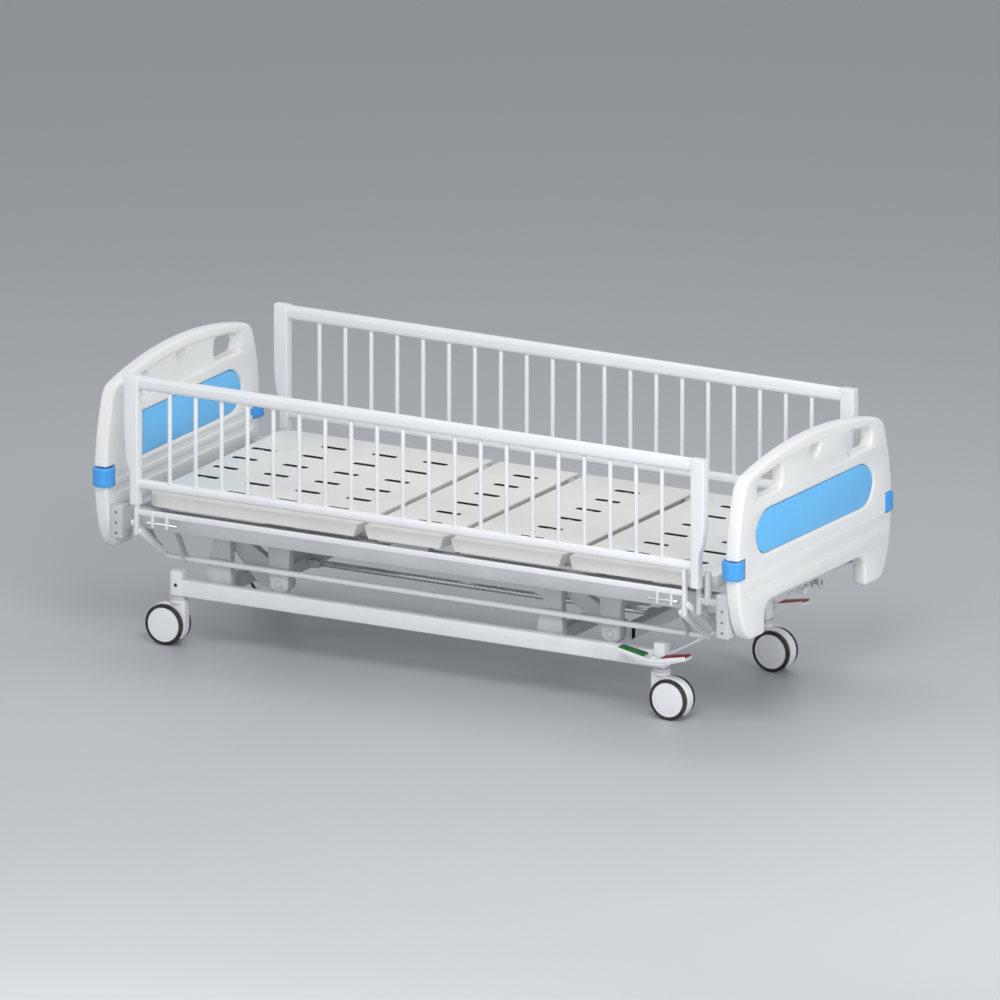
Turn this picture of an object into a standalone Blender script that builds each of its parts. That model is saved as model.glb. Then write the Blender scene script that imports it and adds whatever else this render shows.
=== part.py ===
# Hospital bed with cranked back, knees and height, and side rails that fold down.
# X runs from the head end to the foot end, Y across, Z up from the floor.
# Left and right are those of a patient lying face up.

import math

import bmesh
import bpy
from mathutils import Matrix, Vector

# Clearances
SEAT = 0.0003
BORE_GAP = 0.0003
PIVOT_GAP = 0.0010
WELD_SUNK = 0.0027
SHY = 0.0015

# Facets around round shapes
ROUND = 10
HALF_ROUND = 5
HOOD_STEPS = 10
WHEEL_STEPS = 20
TUBE_STEPS = 3
SLOT_STEPS = 3
BAR_STEPS = 6
LEG_STEPS = 6
CREST_STEPS = 13
FLAT = math.radians(0.05)

# Mattress deck's top and edges, which the rest is placed from
DECK_TOP = 0.483
DECK_HALF = 0.410
DECK_FOOT = 0.980
END_BEAM_CLEAR = 0.028
HEAD_BEAM_CLEAR = 0.063
DECK_HEAD = HEAD_BEAM_CLEAR - END_BEAM_CLEAR - DECK_FOOT

# Base frame
TRACK = 0.310
STEM_HEAD = -0.893
STEM_FOOT = 0.749
BASE_TUBE_WIDTH = 0.030
BASE_TUBE_LOW = 0.152
BASE_TUBE_HIGH = 0.203
POST_SIZE = 0.038
POST_TOP = 0.230
CROSS_TUBE_SIZE = 0.040
CROSS_OFFSET = 0.015
PEDESTAL_INSET = 0.050
PEDESTAL_MIDDLE = TRACK - PEDESTAL_INSET
PEDESTAL_WIDTH = 0.030
PEDESTAL_FOOT_BACK = 0.060
PEDESTAL_FOOT_FRONT = 0.030

# Castors
WHEEL_RADIUS = 0.0625
WHEEL_PAIR_WIDTH = 0.064
WHEEL_SPACE = 0.036
TREAD_SHOULDER = 0.002
CASTOR_TRAIL = 0.035
HOOD_RISE = 0.002
HOOD_RADIUS = WHEEL_RADIUS + HOOD_RISE
HOOD_GAP = 0.002
HOOD_WIDTH = WHEEL_SPACE - 2 * HOOD_GAP
HOOD_START = -45.0
HOOD_END = 221.0
NECK_FRONT = 0.024
NECK_DROP = 0.0115
NECK_TOP = BASE_TUBE_LOW - NECK_DROP
AXLE_RADIUS = 0.008
COLLAR_RADIUS = 0.0265
COLLAR_CLEARANCE = 0.003
COLLAR_BASE = 2 * WHEEL_RADIUS + COLLAR_CLEARANCE
STEM_RADIUS = 0.010
STEM_LENGTH = 0.015

# Brake
BRAKE_HEIGHT = 0.184
BRAKE_RADIUS = 0.006
ROCKER_WIDTH = 0.040
ROCKER_THICKNESS = 0.010
ROCKER_GAP = 0.006
ROCKER_REACH = 0.116
ROCKER_RISE = 0.020
PAD_THICKNESS = 0.007
PAD_START = 0.030

# Height linkage
LIFT_ARM = 0.231
LIFT_DROOP = 33.7
LIFT_PIVOT_HEAD = -0.765
LIFT_PIVOT_HEIGHT = 0.345
LIFT_SPACING = 1.126
LIFT_BOSS = 0.026
LIFT_SHAFT = 0.012
LIFT_ARM_WIDTH = 0.028
LIFT_ARM_GAP = 0.006
LIFT_TUBE_SIZE = 0.040
LINK_INSET = 0.017
LINK_RADIUS = 0.010
LINK_PIN = 0.006
LINK_BOSS = 0.014
LUG_THICKNESS = 0.008
LUG_GAP = 0.003
LIFT_LEVER = 0.090
LIFT_LEVER_ANGLE = 49.0
LEVER_WIDTH = 0.024
LEVER_PIN = 0.005

# Upper frame
BEAM_INSET = 0.050
BEAM_MIDDLE = DECK_HALF - BEAM_INSET
BEAM_WIDTH = 0.030
BEAM_UNDER_DECK = 0.063
BEAM_DEPTH = 0.060
BEAM_HIGH = DECK_TOP - BEAM_UNDER_DECK
BEAM_LOW = BEAM_HIGH - BEAM_DEPTH
END_BEAM_INSIDE = DECK_FOOT + END_BEAM_CLEAR
END_BEAM_OUTSIDE = END_BEAM_INSIDE + BEAM_WIDTH
FRAME_CROSS_WIDTH = 0.040
FRAME_CROSS_SUNK = 0.005
FRAME_CROSS_HIGH = BEAM_HIGH - FRAME_CROSS_SUNK
FRAME_CROSS_LOW = FRAME_CROSS_HIGH - FRAME_CROSS_WIDTH
BRACKET_INSET = 0.010
BRACKET_INSIDE = DECK_HALF - BRACKET_INSET
BRACKET_WIDTH = 0.046
BRACKET_OUTSIDE = BRACKET_INSIDE + BRACKET_WIDTH
BRACKET_FOOT_DROP = 0.053
BRACKET_FOOT_LOW = BEAM_LOW - BRACKET_FOOT_DROP
BRACKET_HEAD_DROP = 0.020
BRACKET_HEAD_LOW = BEAM_LOW - BRACKET_HEAD_DROP
BRACKET_RISE = 0.020
BRACKET_TOP = BEAM_HIGH + BRACKET_RISE
SOCKET_REACH = 0.039
SOCKET_X = END_BEAM_INSIDE - SOCKET_REACH
SOCKET_CLEAR = 0.0125
SOCKET_Y = DECK_HALF + SOCKET_CLEAR
SOCKET_RADIUS = 0.0105
SOCKET_BORE = 0.0070
SOCKET_DROP = 0.020
SOCKET_LOW = BEAM_HIGH - SOCKET_DROP
SOCKET_RISE = 0.017
SOCKET_TOP = DECK_TOP + SOCKET_RISE
COLUMN_REACH = 0.030
COLUMN_X = SOCKET_X - COLUMN_REACH
COLUMN_RADIUS = 0.0092
COLUMN_LIFT = 0.007
COLUMN_LOW = BEAM_LOW + COLUMN_LIFT
COLUMN_RISE = 0.062
COLUMN_TOP = DECK_TOP + COLUMN_RISE

# Mattress deck
DECK_SKIRT = 0.041
DECK_WALL = 0.005
DECK_GAP = 0.026
BACK_HINGE = -0.218
KNEE_HINGE = 0.075
CALF_HINGE = 0.478
DECK_CORNER = 0.040
HINGE_DROP = 0.007
HINGE_HEIGHT = DECK_TOP - HINGE_DROP
HINGE_PIN = 0.004
HINGE_LUG = 0.007
SLOT_LENGTH = 0.075
SLOT_WIDTH = 0.012
SLOT_PITCH = 0.1155
SLOT_FIRST = -0.280
SLOT_COLUMNS = 6
SLOT_SEAT_SHIFT = 0.0145
SLOT_THIGH_SHIFT = 0.0115
SLOT_FROM_HEAD = 0.065
SLOT_FROM_HINGE = 0.145
SLOT_BACK_COUNT = 4
SLOT_BACK_FIRST = DECK_HEAD + SLOT_FROM_HEAD
SLOT_BACK_PITCH = (BACK_HINGE - SLOT_FROM_HINGE - SLOT_BACK_FIRST) / (SLOT_BACK_COUNT - 1)
SLOT_ROWS_BACK = tuple(SLOT_BACK_FIRST + SLOT_BACK_PITCH * row for row in range(SLOT_BACK_COUNT))
SLOT_ROWS_SEAT = ((BACK_HINGE + KNEE_HINGE) / 2 + SLOT_SEAT_SHIFT,)
SLOT_ROWS_THIGH = ((KNEE_HINGE + CALF_HINGE) / 2 + SLOT_THIGH_SHIFT,)
SLOT_PAST_CALF_HINGE = 0.170
SLOT_FROM_FOOT = 0.132
SLOT_ROWS_CALF = (CALF_HINGE + SLOT_PAST_CALF_HINGE, DECK_FOOT - SLOT_FROM_FOOT)
RAIL_INSET = 0.085
RAIL_UNDER_DECK = DECK_HALF - RAIL_INSET
SECTION_TUBE = 0.020
SECTION_TUBE_DEEP = 0.022
SECTION_INSET = 0.040

# Levers and screws below the deck
SCREW_INSET = 0.130
SCREW_LANE = TRACK - SCREW_INSET
LEVER_THICKNESS = 0.008
BACK_SWING = 70.0
KNEE_SWING = 35.0
SIDE_SCREW_DROP = 0.030
SIDE_SCREW_HEIGHT = BEAM_LOW - SIDE_SCREW_DROP
MIDDLE_SCREW_DROP = 0.008
MIDDLE_SCREW_HEIGHT = BEAM_LOW - MIDDLE_SCREW_DROP
BACK_LEVER_PAST = 0.009
BACK_LEVER = HINGE_HEIGHT - SIDE_SCREW_HEIGHT + BACK_LEVER_PAST
KNEE_LEVER_PAST = 0.004
KNEE_LEVER = HINGE_HEIGHT - SIDE_SCREW_HEIGHT + KNEE_LEVER_PAST
PUSH_RADIUS = 0.012
PUSH_BORE = 0.0083
SCREW_RADIUS = 0.0080
SCREW_OVERLAP = 0.014
SLOT_SLACK = 0.0030
FORK_WIDTH = 0.030
KNEE_FORK_REACH = 0.048
CRANK_HUB = 0.012
CRANK_INSET = 0.043
CRANK_PLANE = END_BEAM_INSIDE - CRANK_INSET
CRANK_ARM_SIDE = 0.080
CRANK_ARM_MIDDLE = 0.066
CRANK_ARM_THICKNESS = 0.009
GRIP_RADIUS = 0.011
GRIP_LENGTH = 0.070

# Boards
BOARD_CLEAR = 0.012
BOARD_INSIDE = END_BEAM_OUTSIDE + BOARD_CLEAR
BOARD_THICKNESS = 0.050
BOARD_OUTSIDE = BOARD_INSIDE + BOARD_THICKNESS
BOARD_OVERHANG = 0.055
BOARD_HALF = DECK_HALF + BOARD_OVERHANG
SHOULDER_RISE = 0.065
BOARD_SHOULDER = DECK_TOP + SHOULDER_RISE
CREST_RISE = 0.314
BOARD_CREST = BOARD_SHOULDER + CREST_RISE
BOARD_CREST_POWER = 0.46
BOARD_DROP = 0.183
BOARD_FOOT = DECK_TOP - BOARD_DROP
LEG_OUTER_INSET = 0.084
LEG_OUTSIDE = BOARD_HALF - LEG_OUTER_INSET
LEG_WIDTH = 0.079
LEG_INSIDE = LEG_OUTSIDE - LEG_WIDTH
LEG_HEIGHT = 0.096
BOARD_CUT_TOP = BOARD_FOOT + LEG_HEIGHT
BOARD_CUT_RADIUS = 0.045
HANDLE_INSET = 0.189
HANDLE_Y = BOARD_HALF - HANDLE_INSET
HANDLE_DROP = 0.102
HANDLE_Z = BOARD_CREST - HANDLE_DROP
HANDLE_LENGTH = 0.150
HANDLE_HEIGHT = 0.058
SHIELD_DROP = 0.074
SHIELD_Z = BOARD_CREST - SHIELD_DROP
SHIELD_WIDTH = 0.064
SHIELD_HEIGHT = 0.045
PANEL_SUNK = 0.002
PANEL_LOW = BOARD_SHOULDER - PANEL_SUNK
PANEL_WIDEST = 0.074
PANEL_MIDDLE = PANEL_LOW + PANEL_WIDEST
PANEL_HEIGHT = 0.131
PANEL_TOP = PANEL_LOW + PANEL_HEIGHT
PANEL_INSET = 0.105
PANEL_HALF_MIDDLE = BOARD_HALF - PANEL_INSET
PANEL_LOW_TAPER = 0.039
PANEL_HALF_LOW = PANEL_HALF_MIDDLE - PANEL_LOW_TAPER
PANEL_TOP_TAPER = 0.054
PANEL_HALF_TOP = PANEL_HALF_MIDDLE - PANEL_TOP_TAPER
PANEL_SET_BACK = 0.003
BUMPER_REACH = 0.022
BUMPER_MIDDLE = BOARD_INSIDE + BUMPER_REACH
BUMPER_LENGTH = 0.062
BUMPER_DROP = 0.0505
BUMPER_LOW = BOARD_SHOULDER - BUMPER_DROP
BUMPER_HEIGHT = 0.0585
BUMPER_TOP = BUMPER_LOW + BUMPER_HEIGHT
BUMPER_PROUD = 0.017
BUMPER_OUTSIDE = BOARD_HALF + BUMPER_PROUD
BUMPER_SUNK = 0.008
BUMPER_SEAT = BOARD_HALF - BUMPER_SUNK

# Side rails
RAIL_CLEAR = 0.041
RAIL_PLANE = DECK_HALF + RAIL_CLEAR
RAIL_HEAD_PAST = 0.046
RAIL_HEAD = DECK_HEAD - RAIL_HEAD_PAST
RAIL_FOOT_SHORT = 0.001
RAIL_FOOT = DECK_FOOT - RAIL_FOOT_SHORT
RAIL_RISE = 0.370
RAIL_TOP = DECK_TOP + RAIL_RISE
RAIL_TOP_TUBE = 0.043
RAIL_TOP_WIDTH = 0.030
RAIL_LOW_RISE = 0.053
RAIL_LOW_TOP = DECK_TOP + RAIL_LOW_RISE
RAIL_LOW_TUBE = 0.030
RAIL_LOW_WIDTH = 0.024
RAIL_BAR_RADIUS = 0.0065
RAIL_BAR_COUNT = 20
RAIL_BAR_FROM_HEAD = 0.148
RAIL_BAR_FROM_FOOT = 0.150
RAIL_BAR_FIRST = RAIL_HEAD + RAIL_BAR_FROM_HEAD
RAIL_BAR_LAST = RAIL_FOOT - RAIL_BAR_FROM_FOOT
RAIL_BAR_PITCH = (RAIL_BAR_LAST - RAIL_BAR_FIRST) / (RAIL_BAR_COUNT - 1)
RAIL_POST_LENGTH = 0.046
RAIL_POST_WIDTH = 0.034
RAIL_POST_DROP = 0.027
RAIL_POST_LOW = DECK_TOP - RAIL_POST_DROP
RAIL_POST_TAPER = 0.020
TAPER_TOP_RISE = 0.174
RAIL_TAPER_TOP = RAIL_LOW_TOP + TAPER_TOP_RISE
TAPER_LOW_RISE = 0.024
RAIL_TAPER_LOW = RAIL_LOW_TOP + TAPER_LOW_RISE
STRUT_HEAD_PAST = 0.0095
STRUT_HEAD = DECK_HEAD - STRUT_HEAD_PAST
STRUT_FOOT_SHORT = 0.074
STRUT_FOOT = DECK_FOOT - STRUT_FOOT_SHORT
STRUT_LENGTH = 0.012
STRUT_WIDTH = 0.016
TIE_DROP = 0.014
TIE_TOP = RAIL_POST_LOW - TIE_DROP
TIE_HEIGHT = 0.016
TIE_LOW = TIE_TOP - TIE_HEIGHT
STRUT_DROP = 0.052
STRUT_PIVOT = TIE_LOW - STRUT_DROP
STRUT_PAST = 0.012
STRUT_END = STRUT_PIVOT - STRUT_PAST
RAIL_TUBE_INSET = 0.020
RAIL_TUBE_Y = TRACK - RAIL_TUBE_INSET
RAIL_TUBE_CLEAR = 0.032
RAIL_TUBE_Z = POST_TOP + RAIL_TUBE_CLEAR
RAIL_TUBE_RADIUS = 0.0075
RAIL_ARM_THICKNESS = 0.008
RAIL_ARM_BOSS = 0.010
RAIL_PIN = 0.004
UPPER_ARM_RISE = 0.025
HANGER_THICKNESS = 0.006
HANGER_INSET = 0.075
RELEASE_LENGTH = 0.102
RELEASE_RADIUS = 0.006
RELEASE_DROP = 0.022
RELEASE_HEIGHT = TIE_LOW - RELEASE_DROP

SIDES = (("left", 1), ("right", -1))
ENDS = (("head", -1), ("foot", 1))

WHITE = ((0.86, 0.87, 0.88), 0.35, 0.1)
PLASTIC = ((0.88, 0.88, 0.86), 0.45, 0.0)
BLUE = ((0.16, 0.48, 0.86), 0.45, 0.0)
GREY = ((0.55, 0.57, 0.59), 0.4, 0.3)
STEEL = ((0.62, 0.63, 0.65), 0.3, 0.9)
BLACK = ((0.03, 0.03, 0.03), 0.7, 0.0)
RED = ((0.62, 0.04, 0.04), 0.5, 0.0)
GREEN = ((0.05, 0.38, 0.12), 0.5, 0.0)


for item in list(bpy.data.objects):
    bpy.data.objects.remove(item, do_unlink=True)


# Shapes
def box(x, y, z):
    bm = bmesh.new()
    bmesh.ops.create_cube(bm, size=1.0)
    limits = [sorted(pair) for pair in (x, y, z)]
    bmesh.ops.scale(bm, vec=[high - low for low, high in limits], verts=bm.verts)
    bmesh.ops.translate(bm, vec=[(high + low) / 2 for low, high in limits], verts=bm.verts)
    return bm


def rod(start, end, radius, steps=ROUND):
    start, end = Vector(start), Vector(end)
    along = end - start
    turn = along.to_track_quat("Z", "Y").to_matrix().to_4x4()
    bm = bmesh.new()
    bmesh.ops.create_cone(
        bm, cap_ends=True, segments=steps, radius1=radius, radius2=radius, depth=along.length,
        matrix=Matrix.Translation((start + end) / 2) @ turn)
    return bm


def bored(start, end, radius, steps=ROUND):
    """Cutter for a round hole whose flats lie at the radius."""
    return rod(start, end, radius / math.cos(math.pi / steps), steps)


def sheet(outline, axis, low, high):
    places = {"x": (1, 2), "y": (0, 2), "z": (0, 1)}[axis]
    across = "xyz".index(axis)
    bm = bmesh.new()
    corners = []
    for point in outline:
        corner = [0.0, 0.0, 0.0]
        corner[places[0]], corner[places[1]] = point
        corner[across] = low
        corners.append(bm.verts.new(corner))
    face = bm.faces.new(corners)
    grown = bmesh.ops.extrude_face_region(bm, geom=[face])
    shift = [0.0, 0.0, 0.0]
    shift[across] = high - low
    moved = [part for part in grown["geom"] if isinstance(part, bmesh.types.BMVert)]
    bmesh.ops.translate(bm, vec=shift, verts=moved)
    bmesh.ops.recalc_face_normals(bm, faces=bm.faces)
    return bm


def turned(profile, centre, steps):
    """Body turned about the Y axis, from pairs of place along the axis and radius."""
    bm = bmesh.new()
    rings = []
    for along, radius in profile:
        if radius == 0.0:
            rings.append([bm.verts.new((centre[0], centre[1] + along, centre[2]))])
            continue
        ring = []
        for step in range(steps):
            angle = math.tau * step / steps
            ring.append(bm.verts.new((
                centre[0] + radius * math.sin(angle), centre[1] + along,
                centre[2] - radius * math.cos(angle))))
        rings.append(ring)
    for first, second in zip(rings, rings[1:]):
        for step in range(steps):
            after = (step + 1) % steps
            if len(first) == 1:
                bm.faces.new((first[0], second[step], second[after]))
            elif len(second) == 1:
                bm.faces.new((first[after], first[step], second[0]))
            else:
                bm.faces.new((first[after], first[step], second[step], second[after]))
    bmesh.ops.recalc_face_normals(bm, faces=bm.faces)
    return bm


def arc(centre, radius, start, end, steps):
    points = []
    for step in range(steps + 1):
        angle = math.radians(start + (end - start) * step / steps)
        points.append((centre[0] + radius * math.cos(angle), centre[1] + radius * math.sin(angle)))
    return points


def wrapped(points):
    """Convex outline around the points."""
    points = sorted(set(points))

    def half(run):
        kept = []
        for point in run:
            while len(kept) > 1:
                (ax, ay), (bx, by) = kept[-2], kept[-1]
                if (bx - ax) * (point[1] - ay) - (by - ay) * (point[0] - ax) > 0.0:
                    break
                kept.pop()
            kept.append(point)
        return kept[:-1]

    return half(points) + half(points[::-1])


def together(shapes):
    """Shapes that stay apart from each other, held in one."""
    whole = bmesh.new()
    for shape in shapes:
        mesh = bpy.data.meshes.new("shape")
        shape.to_mesh(mesh)
        shape.free()
        whole.from_mesh(mesh)
        bpy.data.meshes.remove(mesh)
    return whole


def obround(middle, length, width, steps=6):
    run = (length - width) / 2
    right = arc((middle[0] + run, middle[1]), width / 2, -90.0, 90.0, steps)
    left = arc((middle[0] - run, middle[1]), width / 2, 90.0, 270.0, steps)
    return right + left


def part(name, look, origin, add, cut=()):
    """One named solid: the union of the shapes in add, less those in cut."""
    helpers = []
    for number, shape in enumerate(list(add) + list(cut)):
        mesh = bpy.data.meshes.new(name + "_shape")
        shape.to_mesh(mesh)
        shape.free()
        helper = bpy.data.objects.new(name + "_shape", mesh)
        bpy.context.collection.objects.link(helper)
        if number:
            step = helpers[0].modifiers.new("shape", "BOOLEAN")
            step.operation = "UNION" if number < len(add) else "DIFFERENCE"
            step.solver = "EXACT"
            step.object = helper
        helpers.append(helper)
    bpy.context.view_layer.update()
    view = bpy.context.evaluated_depsgraph_get()
    mesh = bpy.data.meshes.new_from_object(helpers[0].evaluated_get(view))
    mesh.name = name
    for helper in helpers:
        bpy.data.objects.remove(helper, do_unlink=True)
    clean = bmesh.new()
    clean.from_mesh(mesh)
    bmesh.ops.dissolve_limit(clean, angle_limit=FLAT, verts=clean.verts, edges=clean.edges)
    clean.to_mesh(mesh)
    clean.free()
    mesh.transform(Matrix.Translation(-Vector(origin)))
    mesh.materials.clear()
    colour, roughness, metallic = look
    material = bpy.data.materials.new(name + "_finish")
    material.use_nodes = True
    shader = material.node_tree.nodes["Principled BSDF"]
    shader.inputs["Base Color"].default_value = (*colour, 1.0)
    shader.inputs["Roughness"].default_value = roughness
    shader.inputs["Metallic"].default_value = metallic
    mesh.materials.append(material)
    mesh.shade_smooth()
    mesh.set_sharp_from_angle(angle=math.radians(35.0))
    whole = bpy.data.objects.new(name, mesh)
    whole.location = origin
    bpy.context.collection.objects.link(whole)
    return whole


# Base: side tubes with a post over each castor
BASE_TUBE_INSIDE = TRACK - BASE_TUBE_WIDTH / 2
STEM_TOP = BASE_TUBE_LOW + STEM_LENGTH
STEMS = {"head": STEM_HEAD, "foot": STEM_FOOT}
POST_OUTSIDE = TRACK + POST_SIZE / 2

for side, sign in SIDES:
    middle = sign * TRACK
    y_tube = (middle - BASE_TUBE_WIDTH / 2, middle + BASE_TUBE_WIDTH / 2)
    y_post = (middle - POST_SIZE / 2, middle + POST_SIZE / 2)
    shapes = [box((STEM_HEAD, STEM_FOOT), y_tube, (BASE_TUBE_LOW, BASE_TUBE_HIGH))]
    bores = [bored((STEM_FOOT, y_post[0] - POST_SIZE, BRAKE_HEIGHT),
                   (STEM_FOOT, y_post[1] + POST_SIZE, BRAKE_HEIGHT),
                 BRAKE_RADIUS + BORE_GAP)]
    for stem in STEMS.values():
        shapes.append(box((stem - POST_SIZE / 2, stem + POST_SIZE / 2), y_post, (BASE_TUBE_LOW, POST_TOP)))
        bores.append(bored((stem, middle, BASE_TUBE_LOW - STEM_LENGTH), (stem, middle, STEM_TOP + SEAT),
                         STEM_RADIUS + BORE_GAP))
    part("base_side_" + side, WHITE, (0.0, middle, BASE_TUBE_LOW), shapes, bores)

# Base: cross tubes with the pedestals that carry the lift arms
LIFT_PIVOTS = {"head": LIFT_PIVOT_HEAD, "foot": LIFT_PIVOT_HEAD + LIFT_SPACING}
CROSS_LOW = BASE_TUBE_LOW + 0.005
CROSS_HIGH = CROSS_LOW + CROSS_TUBE_SIZE
CROSS_END = BASE_TUBE_INSIDE - SEAT
PEDESTAL_INSIDE = PEDESTAL_MIDDLE - PEDESTAL_WIDTH / 2
PEDESTAL_OUTSIDE = PEDESTAL_MIDDLE + PEDESTAL_WIDTH / 2

for end, pivot in LIFT_PIVOTS.items():
    middle = pivot - CROSS_OFFSET
    shapes = [box((middle - CROSS_TUBE_SIZE / 2, middle + CROSS_TUBE_SIZE / 2), (-CROSS_END, CROSS_END),
                  (CROSS_LOW, CROSS_HIGH))]
    outline = wrapped(
        arc((pivot, LIFT_PIVOT_HEIGHT), LIFT_BOSS, -20.0, 200.0, ROUND)
        + [(pivot - PEDESTAL_FOOT_BACK, CROSS_LOW), (pivot - PEDESTAL_FOOT_BACK, CROSS_HIGH),
           (pivot + PEDESTAL_FOOT_FRONT, CROSS_LOW), (pivot + PEDESTAL_FOOT_FRONT, CROSS_HIGH)])
    for side, sign in SIDES:
        shapes.append(sheet(outline, "y", sign * PEDESTAL_INSIDE, sign * PEDESTAL_OUTSIDE))
    bore = bored((pivot, -TRACK, LIFT_PIVOT_HEIGHT), (pivot, TRACK, LIFT_PIVOT_HEIGHT), LIFT_SHAFT + BORE_GAP)
    part("base_cross_" + end, WHITE, (middle, 0.0, CROSS_LOW), shapes, [bore])

# Castors: hood between the wheels, neck and stem in one, and the wheel pair on its axle sleeve
HALF_PAIR = WHEEL_PAIR_WIDTH / 2
HALF_SPACE = WHEEL_SPACE / 2
NECK_TURN = math.degrees(math.acos((NECK_FRONT - CASTOR_TRAIL) / HOOD_RADIUS))

for end, trail in ENDS:
    for side, sign in SIDES:
        stem = (STEMS[end], sign * TRACK)
        axle = (stem[0] + trail * CASTOR_TRAIL, sign * TRACK, WHEEL_RADIUS)
        hub = (axle[0], WHEEL_RADIUS)
        hood = arc(hub, HOOD_RADIUS, HOOD_START, NECK_TURN, HOOD_STEPS)
        hood += [(hood[-1][0], NECK_TOP), (axle[0] - HOOD_RADIUS, NECK_TOP)]
        hood += arc(hub, HOOD_RADIUS, 180.0, HOOD_END, HALF_ROUND)
        hood = [(axle[0] + trail * (x - axle[0]), z) for x, z in hood]
        shapes = [
            sheet(hood, "y", axle[1] - HOOD_WIDTH / 2, axle[1] + HOOD_WIDTH / 2),
            rod((*stem, COLLAR_BASE), (*stem, BASE_TUBE_LOW - SEAT), COLLAR_RADIUS),
            rod((*stem, BASE_TUBE_LOW - STEM_RADIUS), (*stem, STEM_TOP), STEM_RADIUS)]
        bore = bored((axle[0], axle[1] - TRACK / 2, axle[2]), (axle[0], axle[1] + TRACK / 2, axle[2]),
                   AXLE_RADIUS + BORE_GAP)
        part("castor_fork_%s_%s" % (end, side), PLASTIC, (*stem, BASE_TUBE_LOW), shapes, [bore])

        half = [
            (HALF_PAIR, 0.0), (HALF_PAIR - TREAD_SHOULDER / 2, WHEEL_RADIUS - 2 * TREAD_SHOULDER),
            (HALF_PAIR - 2 * TREAD_SHOULDER, WHEEL_RADIUS), (HALF_SPACE + 2 * TREAD_SHOULDER, WHEEL_RADIUS),
            (HALF_SPACE, WHEEL_RADIUS - 2 * TREAD_SHOULDER), (HALF_SPACE, AXLE_RADIUS)]
        profile = [(-y, radius) for y, radius in half] + half[::-1]
        part("castor_wheels_%s_%s" % (end, side), BLACK, axle, [turned(profile, axle, WHEEL_STEPS)])

# Brake: shaft across the foot end, with a rocker and two pads on each side
ROCKER_INSIDE = POST_OUTSIDE + ROCKER_GAP
ROCKER_OUTSIDE = ROCKER_INSIDE + ROCKER_WIDTH
shapes = [rod((STEM_FOOT, -ROCKER_INSIDE - ROCKER_WIDTH / 2, BRAKE_HEIGHT),
              (STEM_FOOT, ROCKER_INSIDE + ROCKER_WIDTH / 2, BRAKE_HEIGHT), BRAKE_RADIUS)]
top = ROCKER_THICKNESS / 2
rocker = [
    (STEM_FOOT, BRAKE_HEIGHT + top), (STEM_FOOT + ROCKER_REACH, BRAKE_HEIGHT + top + ROCKER_RISE),
    (STEM_FOOT + ROCKER_REACH, BRAKE_HEIGHT - top + ROCKER_RISE),
    (STEM_FOOT + PAD_START, BRAKE_HEIGHT - 2 * top),
    (STEM_FOOT - PAD_START, BRAKE_HEIGHT - 2 * top),
    (STEM_FOOT - ROCKER_REACH, BRAKE_HEIGHT - top + ROCKER_RISE),
    (STEM_FOOT - ROCKER_REACH, BRAKE_HEIGHT + top + ROCKER_RISE)]
for side, sign in SIDES:
    shapes.append(sheet(rocker, "y", sign * ROCKER_INSIDE, sign * ROCKER_OUTSIDE))
part("brake_bar", WHITE, (STEM_FOOT, 0.0, BRAKE_HEIGHT), shapes)

slope = ROCKER_RISE / ROCKER_REACH
for colour, look, way in (("green", GREEN, -1), ("red", RED, 1)):
    for side, sign in SIDES:
        near = BRAKE_HEIGHT + top + slope * PAD_START + SEAT
        far = BRAKE_HEIGHT + top + ROCKER_RISE + SEAT
        outline = [(STEM_FOOT + way * PAD_START, near), (STEM_FOOT + way * ROCKER_REACH, far),
                   (STEM_FOOT + way * ROCKER_REACH, far + PAD_THICKNESS),
                   (STEM_FOOT + way * PAD_START, near + PAD_THICKNESS)]
        part("brake_pad_%s_%s" % (colour, side), look, (STEM_FOOT, 0.0, BRAKE_HEIGHT),
             [sheet(outline, "y", sign * ROCKER_INSIDE, sign * (ROCKER_OUTSIDE + SEAT * 10))])

# Height linkage: an H-shaped arm at each end and a long rod that makes them move as one
ARM_OUTSIDE = PEDESTAL_INSIDE - LIFT_ARM_GAP
ARM_INSIDE = ARM_OUTSIDE - LIFT_ARM_WIDTH
SHAFT_END = PEDESTAL_OUTSIDE + LIFT_ARM_GAP / 2
DROOP = math.radians(LIFT_DROOP)
LIFT_PINS = {end: (pivot + LIFT_ARM * math.cos(DROOP), LIFT_PIVOT_HEIGHT - LIFT_ARM * math.sin(DROOP))
             for end, pivot in LIFT_PIVOTS.items()}
LINK_ENDS = {end: (pin[0] - LINK_INSET, pin[1]) for end, pin in LIFT_PINS.items()}
LINK_HALF = LINK_RADIUS
LUG_INSIDE = LINK_HALF + LUG_GAP
LUG_OUTSIDE = LUG_INSIDE + LUG_THICKNESS
TUBE_REACH = LIFT_TUBE_SIZE / 2 + 2 * LINK_BOSS
LEVER_INSIDE = LEVER_THICKNESS / 2 + LUG_GAP * 2 / 3
LEVER_OUTSIDE = LEVER_INSIDE + LEVER_THICKNESS


def lever(start, tip, lane):
    """Flat lever from two points on its carrier to a tip, with a pin that crosses the lane."""
    outline = wrapped(list(start) + arc(tip, LEVER_WIDTH / 2 - LEVER_PIN / 2, 0.0, 360.0, ROUND))
    plate = sheet(outline, "y", lane + LEVER_INSIDE, lane + LEVER_OUTSIDE)
    pin = rod((tip[0], lane + LEVER_OUTSIDE - LEVER_INSIDE / 2, tip[1]),
              (tip[0], lane - LEVER_INSIDE, tip[1]),
              LEVER_PIN)
    return [plate, pin]


LIFT_TIP = (LIFT_PINS["foot"][0] + LIFT_LEVER * math.cos(math.radians(LIFT_LEVER_ANGLE)),
            LIFT_PINS["foot"][1] + LIFT_LEVER * math.sin(math.radians(LIFT_LEVER_ANGLE)))

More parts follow.
